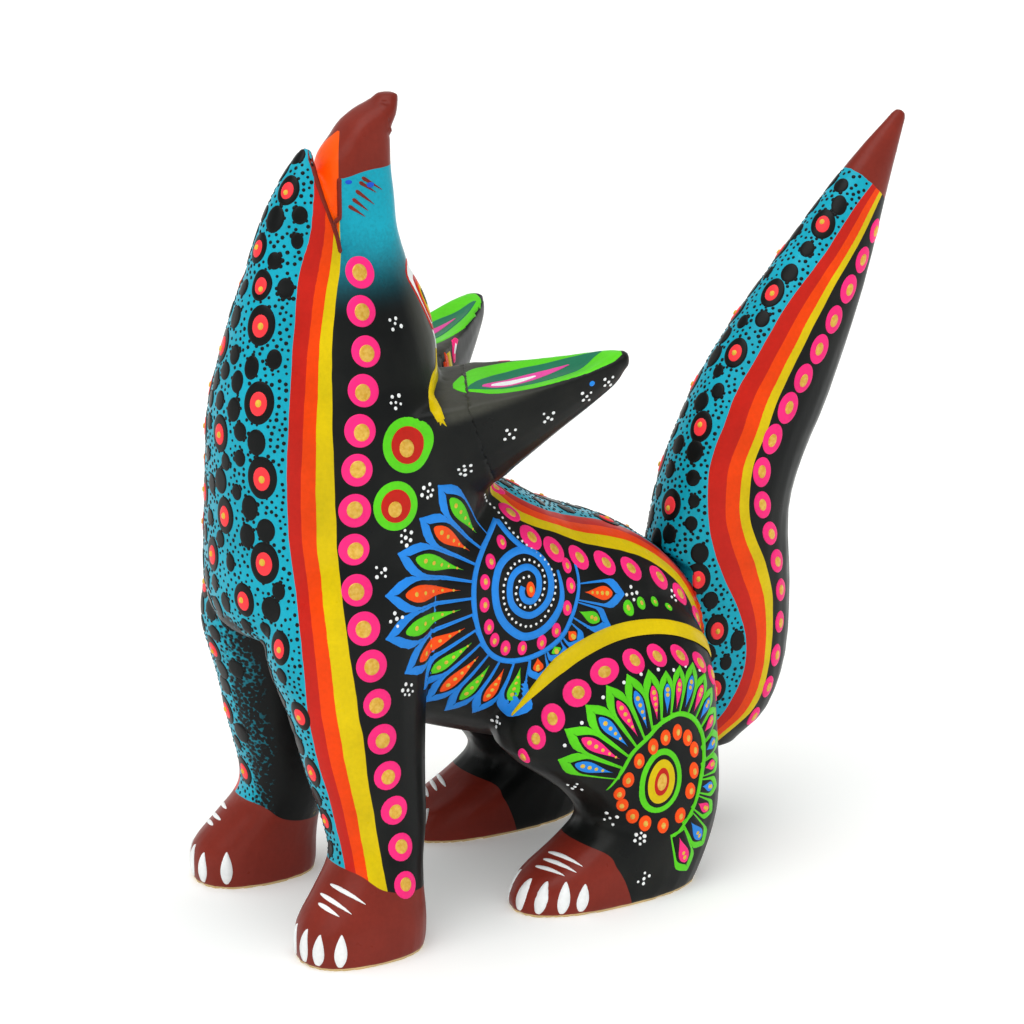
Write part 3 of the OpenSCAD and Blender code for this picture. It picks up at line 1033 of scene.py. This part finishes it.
class Flower:
    """A flower seen from the side: a place on it is an angle in degrees and a radius about the
    middle (y, z). Its petals start from the base, which is radius by angle."""

    def __init__(self, y, z, base, outline, drops):
        self.y, self.z = y, z
        self.base = base
        self.outline, self.drops = outline, drops

    def spot(self, degrees, radius):
        """The skin's place and normal there, or None past the edge of the side."""
        a = math.radians(degrees)
        start = (60, self.y + radius * math.cos(a), self.z + radius * math.sin(a))
        return carving.cast(start, (-1, 0, 0))

    def line(self, places):
        """The skin's places along a list of (degrees, radius)."""
        spots = [self.spot(a, r) for a, r in places]
        return [tuple(s[0]) for s in spots if s is not None]

    def inner(self, degrees):
        return float(curve(degrees, self.base))

    def patch(self, colour, degrees, reach, near, far, profile, inset, lift):
        """A filled shape about one angle, from one radius to another. It reaches so many degrees
        to each side, less an inset in millimetres, which like the profile depends on the share of
        the way out."""
        shares = [0, 0.03] + [k / 14 for k in range(1, 14)] + [0.97, 1]
        across = [-1, -0.9, -0.45, 0, 0.45, 0.9, 1]
        grid = []
        for share in shares:
            radius = near + (far - near) * share
            less = math.degrees(inset(share) / radius)
            width = float(profile(share))
            sides = [max(side * width - less, 0.05) for side in reach]
            row = [self.spot(degrees + a * (sides[1] if a > 0 else sides[0]), radius)
                   for a in across]
            if None not in row:
                grid.append(row)
        if len(grid) > 3:
            paint.sheet(colour, grid, 0.07, lift)

    def petals(self, tips):
        """Petals with a coloured outline, a black inside, and a beaded drop."""
        tips = sorted(tips)
        for k, (angle, tip) in enumerate(tips):
            before = angle - tips[k - 1][0] if k else tips[1][0] - tips[0][0]
            after = tips[k + 1][0] - angle if k + 1 < len(tips) else before
            reach = [min(gap / 2 + 0.2, WIDEST_PETAL) for gap in (before, after)]
            start = self.inner(angle)
            deep = tip - start
            edge = 1.5 if deep > 9 else 1.1
            self.patch(self.outline, angle, reach, start - 0.3, tip, petal, lambda s: 0, 0.02)
            self.patch("black", angle, reach, start + 0.2, tip - edge,
                       lambda s: petal(s, 0.62), lambda s: 0.17 + 0.36 * s, 0.07)
            self.beaded_drop(angle, reach, start, tip - edge, self.drops[k % 2])

    def beaded_drop(self, angle, reach, start, end, colour):
        deep = end - start
        near, far = start + 0.14 * deep, start + 0.86 * deep
        self.patch(colour, angle, [r * 0.56 for r in reach], near, far, drop,
                   lambda s: 0.05, 0.13)
        count = 5 if deep > 11 else 4 if deep > 8 else 2
        for k in range(count):
            spot = self.spot(angle, far - (far - near) * (0.2 + 0.17 * k))
            if spot is not None:
                paint.disc("straw", spot[0], 0.42 - 0.05 * k, height=0.1, lift=0.2)

    def beads(self, colour, places, wide, tall):
        for angle, radius in places:
            spot = self.spot(angle, radius)
            if spot is not None:
                paint.eye_disc(spot[0], wide, tall, 0.42, outer=colour)

    def dots(self, places, gap, size):
        """White dots spaced along a line of (degrees, radius)."""
        line, share = resampled(self.line(places), gap)
        for place in line:
            paint.disc("white", place, size, height=0.11, lift=0.05)


# The shoulder's ring starts at its sharp top, and its spiral turns inwards clockwise. All places
# on a flower are (degrees, radius) about its middle.
SHOULDER_RING = [
    (109, 12.5), (123, 11.7), (141, 11.3), (159, 11.2), (177, 11.1), (194, 11.3), (214, 12),
    (229, 12.7), (243, 12.8), (258, 12.3), (274, 11.7), (291, 11.2), (305, 10.8), (323, 10),
    (339, 9.9), (357, 10.2), (372, 10.4)]
SHOULDER = Flower(
    -20, 57.5, [(100, 11.8)] + SHOULDER_RING[:-1], "blue", ("green", "tangerine"))
SHOULDER_PETALS = [
    (130, 27), (143.5, 26.8), (157.5, 28.1), (171.5, 29.5), (185, 30), (199, 28), (212, 25.5),
    (224, 26), (236, 25), (248, 23.6), (261, 22.8), (275, 16.4), (292, 14.3), (310, 14.6),
    (330, 17.8), (347, 20.2)]
SHOULDER_STEM = [(109, 12.5), (106, 9.9), (94, 7.1), (65, 5.7)]
SPIRAL = [
    (20, 6.4), (-2, 6.3), (-23, 6.7), (-44, 7), (-66, 7.5), (-85, 7.9), (-101, 8.1), (-122, 7.6),
    (-148, 7.2), (-173, 7), (-197, 7.1), (-219, 7.3), (-242, 7), (-267, 6.5), (-295, 5.7),
    (-324, 4.9), (-354, 4.3), (-387, 4.1), (-422, 4.1), (-455, 4.4), (-487, 4.3), (-517, 4.3),
    (-548, 4.2), (-578, 4.3), (-605, 4), (-635, 3.6), (-667, 2.8), (-701, 1.9), (-755, 1.6),
    (-809, 2), (-854, 2), (-901, 1.8), (-930, 1.6)]
SPIRAL_DOTS = [
    (110, 17.2), (106, 14.3), (103, 12.4), (101, 10.2), (92, 8), (76, 6.4), (45, 5.5), (12, 5.3),
    (-7, 5.1), (-41, 5.1), (-72, 5.9), (-96, 6.3), (-118, 6.1), (-148, 5.7), (-176, 5.5),
    (-207, 5.4), (-238, 5.3), (-264, 5), (-289, 4.5), (-325, 3.7), (-343, 3.1), (-398, 2.6),
    (-450, 2.9), (-487, 3.2), (-537, 3), (-593, 2.6), (-627, 2.2)]
SHOULDER_BEADS = (
    (117, 9.4), (141, 9.2), (163, 9.1), (187, 9.2), (211, 9.8), (226, 10.5), (241, 10.7),
    (259, 10.1), (281, 9.7), (301, 9.2), (328, 8.4), (354, 8.4), (16, 8.6))

THIGH_BASE = [
    (-90, 11), (-76, 11.2), (-64, 10.5), (-47, 9.5), (-28, 8.8), (-9, 8.8), (12, 10.2),
    (30, 11.6), (50, 12.2), (67, 11.9), (87, 10.3), (107, 8.6), (128, 8.3), (162, 8.4),
    (182, 9.9)]
THIGH = Flower(0.4, 22.2, THIGH_BASE, "green", ("pink", "blue"))
THIGH_RING = THIGH_BASE[:1:-1] + [(-76, 11.4)]
THIGH_PETALS = [
    (-70, 19.8), (-54, 18.4), (-36, 15), (-18, 14.2), (0, 14.6), (15, 16), (30, 17.6), (42, 19.1),
    (52.5, 20.1), (63, 20.8), (72, 19.8), (81.5, 18.9), (92, 19.5), (104.5, 20.1), (117, 20.5),
    (131, 20.6), (146, 21), (161, 19.6)]
THIGH_BEADS = (
    (189, 7.7), (168, 6.5), (134, 6.2), (102, 6.6), (80, 7.6), (63, 8.8), (45, 8.9), (27, 8.6),
    (3, 7.2), (-26, 6.8), (-60, 8.2), (-85, 8.4), (-109, 7.9), (-129, 7.6), (-152, 7.6))
THIGH_DOTS = (
    (153, 19.6), (139, 19.2), (122, 19.3), (108, 19.1), (97, 19.1), (86, 19.1), (76, 18.9),
    (68, 19.8), (57, 20))


def ring_width(share):
    """Even, and thinner over the last quarter."""
    return np.where(share < 0.75, 1.0, 1.0 - 2.2 * (share - 0.75))


def spiral_width(share):
    """Thin at the start, soon full, then slowly thinner."""
    return np.clip(0.3 + 6 * share, 0, 1) * (1.05 - 0.3 * share)


def paint_shoulder():
    """A spiral in a drop-shaped ring, with petals all round."""
    SHOULDER.petals(SHOULDER_PETALS)
    paint.stroke("blue", SHOULDER.line(SHOULDER_RING), 0.95, ring_width, 0.12, 0.06)
    paint.stroke("blue", SHOULDER.line(SHOULDER_STEM), 1.0, even, 0.12, 0.06)
    paint.stroke("blue", SHOULDER.line(SPIRAL), 1.5, spiral_width, 0.12, step=0.35)
    SHOULDER.beads("pink", SHOULDER_BEADS, 0.95, 1.35)
    SHOULDER.dots(SPIRAL_DOTS, 1.05, 0.24)
    middle = SHOULDER.spot(0, 0)[0]
    paint.disc("tangerine", middle, 0.85, 1.35, 0.16)
    paint.disc("straw", middle, 0.4, 0.6, 0.14, lift=0.12)


def paint_thigh():
    """Ovals of gold, red, yellow and green, orange dots, then petals over the top."""
    THIGH.petals(THIGH_PETALS)
    paint.stroke("green", THIGH.line(THIGH_RING), 0.95, round_end, 0.12, 0.06)
    THIGH.beads("tangerine", THIGH_BEADS, 1.1, 1.45)
    for angle, radius in THIGH_DOTS:
        paint.disc("white", THIGH.spot(angle, radius)[0], 0.34, height=0.12)
    centre = THIGH.spot(0, 0)[0]
    lean = (0, 0.16, 1)
    layers = (
        ("green", 4.3, 5.8), ("black", 3.35, 4.8), ("yellow", 2.75, 4.0), ("red", 1.5, 2.55),
        ("gold", 0.95, 1.55))
    for k, (colour, wide, tall) in enumerate(layers):
        paint.disc(colour, centre, wide, tall, 0.1, lean, 0.07 * k)


paint_shoulder()
paint_thigh()

# ---- Painting the carving: paws and face -------------------------------------------------------

CLAWS = (
    [(21.4, -64.3, 6.6), (21.3, -65.2, 0.5)], [(24.2, -63.4, 6.4), (24.4, -64.4, 0.5)],
    [(26.5, -60.6, 6.6), (26.8, -61.2, 0.5)], [(17.8, -64.6, 6.4), (17.6, -65.4, 0.5)],
    [(14.4, -61.6, 7), (13.8, -62.2, 0.9)],
    [(20.8, -20.9, 6.3), (21.0, -23.6, 0.6)], [(23.6, -19.3, 6.3), (24.2, -21.8, 0.6)],
    [(25.6, -16.8, 6.4), (26.3, -18.2, 0.5)], [(27.2, -13.9, 5.9), (27.7, -15, 0.5)],
    [(16.3, -20.4, 6.4), (16.5, -23.3, 0.6)])
KNUCKLES = (
    [(19.5, -59.0, 12.7), (26.1, -55.8, 10.7)], [(18.8, -60.6, 11.2), (25.8, -58.3, 9.4)],
    [(19.9, -61.5, 10.0), (24.9, -60.1, 9.0)],
    [(17.9, -15.9, 8.9), (25.5, -13.4, 8.3)], [(18.6, -17.3, 8.1), (25.6, -14.7, 7.5)],
    [(18.8, -19.0, 7.2), (24.8, -16.6, 7.0)])
JAW_LINE = [
    (0.3, -50.6, 132.5), (1.5, -51.1, 131), (3.2, -51, 128.1), (4.4, -50.5, 124.9),
    (5.6, -49.6, 121.7), (6.4, -49.1, 118.5), (6.9, -48.9, 115.9)]
SNOUT_LINE = [(4.1, -47.2, 128), (4.8, -47.7, 123), (6.3, -48.9, 118.5), (6.9, -48.9, 115.9)]
WHISKERS = (
    [(5.6, -46.6, 123.5), (6.4, -43.8, 121.4)], [(5.7, -45.9, 124.6), (6.4, -43.2, 122.3)],
    [(5.7, -45.3, 125.9), (6.3, -42, 123.2)], [(5.7, -44.6, 127.2), (6.0, -41.5, 125.1)],
    [(5.6, -44.1, 127.9), (5.9, -40.3, 125.4)])
HAIRLINE = [
    (7.4, -31.0, 98.3), (8.8, -32.1, 95.4), (11.8, -34.6, 93.7), (13.4, -35.7, 92.7),
    (15.4, -36.5, 91.5), (18.6, -37.5, 90.5), (19.2, -37.1, 89.2)]
EYE = [(5.0, -37.0, 113), (4.5, -34.5, 109.2), (4.7, -32.8, 105), (6.0, -31.5, 100.6)]
EYE_LAYERS = (
    ("red", 0.0, 1.0, 5.8), ("white", 0.03, 0.96, 5.0), ("red", 0.26, 0.92, 4.4),
    ("orange", 0.32, 0.86, 3.5), ("yellow", 0.38, 0.8, 2.7), ("black", 0.44, 0.72, 1.8))


def hairline_width(share):
    """Thin at the top, then full, slimmer in the middle, and full again."""
    return np.interp(share, (0, 0.12, 0.35, 0.6, 0.85, 1), (0.15, 0.35, 1, 0.6, 1, 0.7))


def paint_paws():
    """White claws, and three knuckle strokes on each paw."""
    for path in CLAWS:
        paint.stroke("white", path, 2.2, claw, 0.16, step=0.3)
    for path in KNUCKLES:
        paint.stroke("white", path, 0.8, blade, 0.12, step=0.3)


def paint_mouth():
    """Brown lips, whiskers and blue spots."""
    paint.stroke("brown", JAW_LINE, 1.0, even, 0.12)
    paint.stroke("brown", SNOUT_LINE, 0.8, even, 0.12)
    for path in WHISKERS:
        paint.stroke("brown", path, 0.75, flick, 0.09, step=0.3)
    paint.disc("ultramarine", (5.2, -46.2, 127.2), 0.6, 0.38, 0.1)
    paint.disc("ultramarine", (5.8, -42.6, 126.5), 0.7, 0.45, 0.1, lift=0.06)


def paint_eyes():
    """Long almonds on the slope behind the snout, with the line that runs on to the ear."""
    line, share = resampled(EYE, 0.2)
    for k, (colour, start, end, width) in enumerate(EYE_LAYERS):
        part = line[(share >= start) & (share <= end)][::4]
        paint.stroke(colour, part, width, round_end, 0.1, 0.05 * k, step=0.3)
    paint.stroke("white", [(6.7, -31.9, 101.4), (6.9, -31.1, 98.8), (8.3, -31.8, 96)], 0.7,
                 round_end, 0.1)
    paint.stroke("yellow", HAIRLINE, 1.9, hairline_width, 0.12, step=0.3)
    for end in ((19.9, -37.6, 88.2), (19.3, -36.2, 88.2)):
        paint.stroke("yellow", [(19.1, -37.2, 89.6), end], 0.7, flick, 0.12, step=0.3)


paint_paws()
paint_mouth()
paint_eyes()

# ---- Painting the carving: turquoise panel and saddle ------------------------------------------

# Coral ovals on the front, each (x, z, size), and on the back, each (x, y, size)
FRONT_OVALS = (
    (1.9, 126.3, 0.7), (5.4, 105.5, 0.9), (8.3, 93.5, 0.95), (10.2, 81.5, 0.95),
    (11.1, 67.4, 0.95), (1, 87.2, 0.85), (2.6, 73.7, 0.85), (7.3, 60.3, 0.8),
    (-3.1, 100.7, 0.8), (-1.6, 66, 0.8), (0.4, 117, 0.7), (14.3, 53.6, 0.8), (16.3, 42, 0.75),
    (15.6, 31.5, 0.75), (15.6, 22.5, 0.65), (-12.8, 45.3, 0.7), (-15.5, 32.8, 0.75),
    (-15.7, 20.9, 0.75), (-5.6, 110.5, 0.8), (-7.8, 93, 0.85), (-10.6, 80, 0.85),
    (-7.4, 86.4, 0.75), (-10.8, 69, 0.85), (-13.6, 57, 0.75), (-6.2, 75.5, 0.75),
    (3.2, 111.5, 0.7))
BACK_OVALS = ((2.5, -14, 0.7), (-4, -4.5, 0.7), (4.2, 4, 0.7), (-1.5, 11.5, 0.65))


def on_turquoise(fields, p, margin):
    """Where the carving is turquoise, by a margin in millimetres from its edges."""
    width = np.where(p[:, 1] < -30, 7.0, 4.5)
    clear = (fields["band"] * width < -margin) & (fields["shade"] < 2.6 - margin)
    clear &= (fields["brown"] < -margin) & (fields["mouth"] < -margin)
    return clear & ((p[:, 1] < -49.5) | (p[:, 2] < 112)) & (p[:, 2] > 12)


def paint_turquoise():
    """Coral ovals, blots and fine dots, not the same on the two sides."""
    paint.both = False
    ovals = []
    for x, z, size in FRONT_OVALS:
        ovals.append((tuple(carving.cast((x, -120, z), (0, 1, 0))[0]), size))
    for x, y, size in BACK_OVALS:
        ovals.append((tuple(carving.cast((x, y, 120), (0, 0, -1))[0]), size))
    speckled(paint, carving_zones, ovals, 3.5, on_turquoise, 11, 60000)


paint_turquoise()
paint_ear_roots = Marks(carving, 9)

# ---- Painting the ears -------------------------------------------------------------------------

# Each layer of the leaf: colour, then (u, near edge w, far edge w) from its start to its tip
LEAF = (
    ("green", ((6.7, 0.6, 2.0), (7.6, -1.6, 3.7), (9.5, -4.6, 5.2), (12, -6.6, 6.3),
               (16, -7.6, 6.7), (21, -7.4, 6.4), (26, -6.4, 5.6), (31, -4.6, 4.0),
               (34, -2.2, 2.2), (35.2, -0.3, 0.6))),
    ("leaf", ((9.2, 3.0, 4.0), (11, 0.4, 4.5), (13.5, -2.6, 4.3), (17, -4.2, 3.9),
              (22, -4.4, 3.2), (27, -4.2, 1.4), (30.5, -3.4, -1.6), (32, -2.9, -2.7))),
    ("mauve", ((11.4, 2.9, 3.4), (13, 1.2, 3.6), (16, -0.6, 2.9), (19.5, -1.6, 1.5),
               (23, -1.9, -0.3), (26.2, -2.0, -1.9))),
    ("white", ((12.8, 2.5, 3.0), (14.4, 1.1, 2.8), (17, 0.3, 2.1), (20.4, -0.4, 0.0))))
# Stripes on the side of the ear that faces the other ear: colour, width, and (w, u, h) places
EAR_STRIPES = (
    ("orange", 2.0, ((-8, 9.5, 2.6), (-8.6, 9.9, 1.8), (-9.4, 9.6, -0.5), (-9.2, 9.4, -4))),
    ("yellow", 1.7, ((-8.2, 11.3, 2.2), (-8.8, 11.4, 1.6), (-9.3, 11.1, -0.6), (-9, 10.6, -4))),
    ("pink", 1.5, ((-8, 16.9, 2.2), (-8.7, 14.4, 1.6), (-8.9, 12.9, -0.8))),
    ("white", 0.6, ((-8.4, 15.4, 1.9), (-8.8, 13.6, 0.6))))


# The leaf's width as a share of the listed one, which keeps it off the ear's rim
LEAF_SHARE = 0.92
EAR_LANES = [0, 0.03] + [k / 18 for k in range(1, 18)] + [0.97, 1]


def ear_grid(skin, side, edges, low, high):
    """Places down onto an ear's upper face between two edges, for the part of u from low to
    high."""
    down = EAR_TURN @ Vector((0, 0, -1))
    flip = Vector((side, 1, 1))
    us = [e[0] for e in edges]
    start, end = max(us[0], low), min(us[-1], high)
    if end - start < 0.4:
        return []
    count = int(2.5 * (end - start)) + 4
    grid = []
    for u in np.linspace(start, end, count):
        near = curve(u, [(e[0], e[1]) for e in edges])
        far = curve(u, [(e[0], e[2]) for e in edges])
        row = []
        for a in EAR_LANES:
            w = LEAF_SHARE * (near + (far - near) * a)
            found = skin.cast(ear_place(w, u, 20) * flip, down * flip)
            row.append(found or skin.near(ear_place(w, u, 2) * flip))
        grid.append(row)
    return grid


def paint_leaf(marks, side, low, high):
    """The green leaf, its dark heart and its pink and white core."""
    for k, (colour, edges) in enumerate(LEAF):
        grid = ear_grid(marks.skin, side, edges, low, high)
        if len(grid) > 2:
            if side == -1:
                grid = [row[::-1] for row in grid]
            marks.sheet(colour, grid, 0.07, 0.09 * k)


def paint_ear(side, name):
    """The leaf, the stripes towards the other ear, and white rosettes underneath."""
    marks = Marks(ears[side], 40 + side)
    flip = Vector((side, 1, 1))
    paint_leaf(marks, side, EAR_SEAT + 0.05, 40)
    paint_leaf(paint_ear_roots, side, 0, EAR_SEAT - 0.05)
    for colour, width, places in EAR_STRIPES:
        path = [ear_place(*p) * flip for p in places]
        marks.stroke(colour, path, width, even if width > 1.6 else round_end, 0.1,
                     0.08 if colour == "white" else 0.0, step=0.3)
    for w, u, h in ((9, 14, -4), (8, 21, -4), (5.5, 28, -3), (4, 32, -2)):
        marks.cluster(ear_place(w, u, h) * flip, 5, r=0.28)
    marks.disc("blue", ear_place(4.5, 29, -0.6) * flip, 0.5, height=0.12)
    marks.pieces(f"ear_{name}", f"ear_{name}")


paint_ear(1, "left")
paint_ear(-1, "right")
for colour, (points, faces) in paint_ear_roots.colours.items():
    paint.add(colour, points, faces)
paint.pieces("carving", "carving")

# ---- Painting the tail -------------------------------------------------------------------------

TAIL_ROW = [
    (4.4, 60.4, 107.3), (6.3, 54.1, 99.3), (8, 46.1, 88.5), (9.1, 38.9, 78.9),
    (9.6, 33.1, 67.5), (9.7, 33.4, 61.1), (9.4, 35.5, 55.5), (8.3, 38.4, 46), (8.6, 38.2, 35.8),
    (8.7, 36.6, 28), (8, 33.4, 21.5)]
TAIL_OVALS = (
    (2.7, 49.8, 109.5), (2.4, 39.4, 98.2), (2.9, 31.5, 88.4), (3.3, 24.1, 76), (2.3, 18.6, 62.2),
    (7.9, 21, 49.6), (9.3, 24.3, 39.9), (8.8, 24.2, 29), (-4, 45, 104.2), (-4.4, 35.8, 94),
    (-5, 27.6, 82), (-5.4, 20.6, 68), (-7.9, 21, 52), (-9.3, 24.3, 42), (-8.8, 24.2, 31))


def on_tail_turquoise(fields, p, margin):
    """Where the tail is turquoise and shows, by a margin in millimetres."""
    clear = (fields["band"] * 6.5 < -margin) & (fields["brown"] < -margin)
    return clear & ((p[:, 1] > TAIL_SEAT + 0.3 + 0.7 * margin) | (p[:, 2] > 52 + margin))


def paint_tail():
    """Pink ovals beside the yellow stripe, and speckle on the turquoise."""
    marks = Marks(tail, 21, True)
    swell = [0.75 + 0.27 * math.sin(math.pi * min(1, k / 16 + 0.15)) for k in range(17)]
    marks.row(TAIL_ROW, [(1.95 * s, 2.75 * s) for s in swell], 0.42, 8)
    marks.both = False
    ovals = [(tuple(tail.near(p)[0]), 0.78) for p in TAIL_OVALS]
    speckled(marks, tail_zones, ovals, 3.6, on_tail_turquoise, 31, 40000)
    marks.pieces("tail", "tail")


paint_tail()

# ---- Floor, light and camera -------------------------------------------------------------------

# The floor is a disc with a rim that rises far behind the figure: (radius, height)
FLOOR_RINGS = ((2000, 0), (2800, 80), (4000, 340), (6000, 1060))
FLOOR_SIDES = 64


def add_floor():
    """Pale paper under the figure."""
    corners = [(0, 0, 0)]
    for radius, height in FLOOR_RINGS:
        for k in range(FLOOR_SIDES):
            turn = 2 * math.pi * k / FLOOR_SIDES
            corners.append((radius * math.cos(turn), radius * math.sin(turn), height))
    faces = []
    for k in range(FLOOR_SIDES):
        a, b = 1 + k, 1 + (k + 1) % FLOOR_SIDES
        faces.append((0, a, b))
        for ring in range(len(FLOOR_RINGS) - 1):
            out = FLOOR_SIDES * ring
            faces.append((a + out, a + out + FLOOR_SIDES, b + out + FLOOR_SIDES, b + out))
    floor = new_object("floor", corners, faces)
    g = Graph("floor_paper")
    paper = g.mix(g.noise(60.0), [0.87, 0.88, 0.87, 1], [0.89, 0.90, 0.885, 1])
    g.link(paper, g.shader.inputs["Base Color"])
    g.shader.inputs["Roughness"].default_value = 0.8
    g.shader.inputs["Specular IOR Level"].default_value = 0.1
    g.shader.inputs["Emission Color"].default_value = (1, 1, 0.98, 1)
    g.shader.inputs["Emission Strength"].default_value = 0.2
    floor.data.materials.append(g.material)


def add_sun(name, azimuth, elevation, strength, spread, colour=(1, 1, 1)):
    """A wide soft lamp; azimuth 0 is in front of the coyote and 90 on its left side."""
    data = bpy.data.lights.new(name, "SUN")
    data.energy, data.angle, data.color = strength, math.radians(spread), colour
    lamp = bpy.data.objects.new(name, data)
    bpy.context.scene.collection.objects.link(lamp)
    a, e = math.radians(azimuth), math.radians(elevation)
    way = Vector((math.sin(a) * math.cos(e), -math.cos(a) * math.cos(e), math.sin(e)))
    lamp.rotation_euler = (-way).to_track_quat("-Z", "Y").to_euler()


def add_world():
    """An even pale sky, weaker than the lamps."""
    world = bpy.data.worlds.new("studio")
    bpy.context.scene.world = world
    world.use_nodes = True
    sky = world.node_tree.nodes["Background"]
    sky.inputs["Color"].default_value = (0.98, 1.0, 0.99, 1)
    sky.inputs["Strength"].default_value = 0.43
    bpy.context.scene.view_settings.view_transform = "Standard"


def add_camera():
    """Level with the coyote's left front, a little above it."""
    azimuth, elevation, distance = math.radians(59.5), math.radians(16.8), 600 * MM
    middle = Vector((0, -12.5, 65)) * MM
    back = Vector((math.sin(azimuth) * math.cos(elevation),
                   -math.cos(azimuth) * math.cos(elevation), math.sin(elevation)))
    lens = bpy.data.cameras.new("camera")
    lens.lens, lens.sensor_width = 122.13, 36
    lens.clip_start, lens.clip_end = 0.05, 200
    camera = bpy.data.objects.new("camera", lens)
    bpy.context.scene.collection.objects.link(camera)
    camera.location = middle + back * distance
    camera.rotation_euler = (-back).to_track_quat("-Z", "Y").to_euler()
    bpy.context.scene.camera = camera


add_floor()
add_sun("top", 0, 84, 1.36, 60)
add_sun("key", 20, 48, 0.76, 50)
add_sun("fill", 100, 35, 0.3, 60, (0.97, 0.99, 1))
add_world()
add_camera()
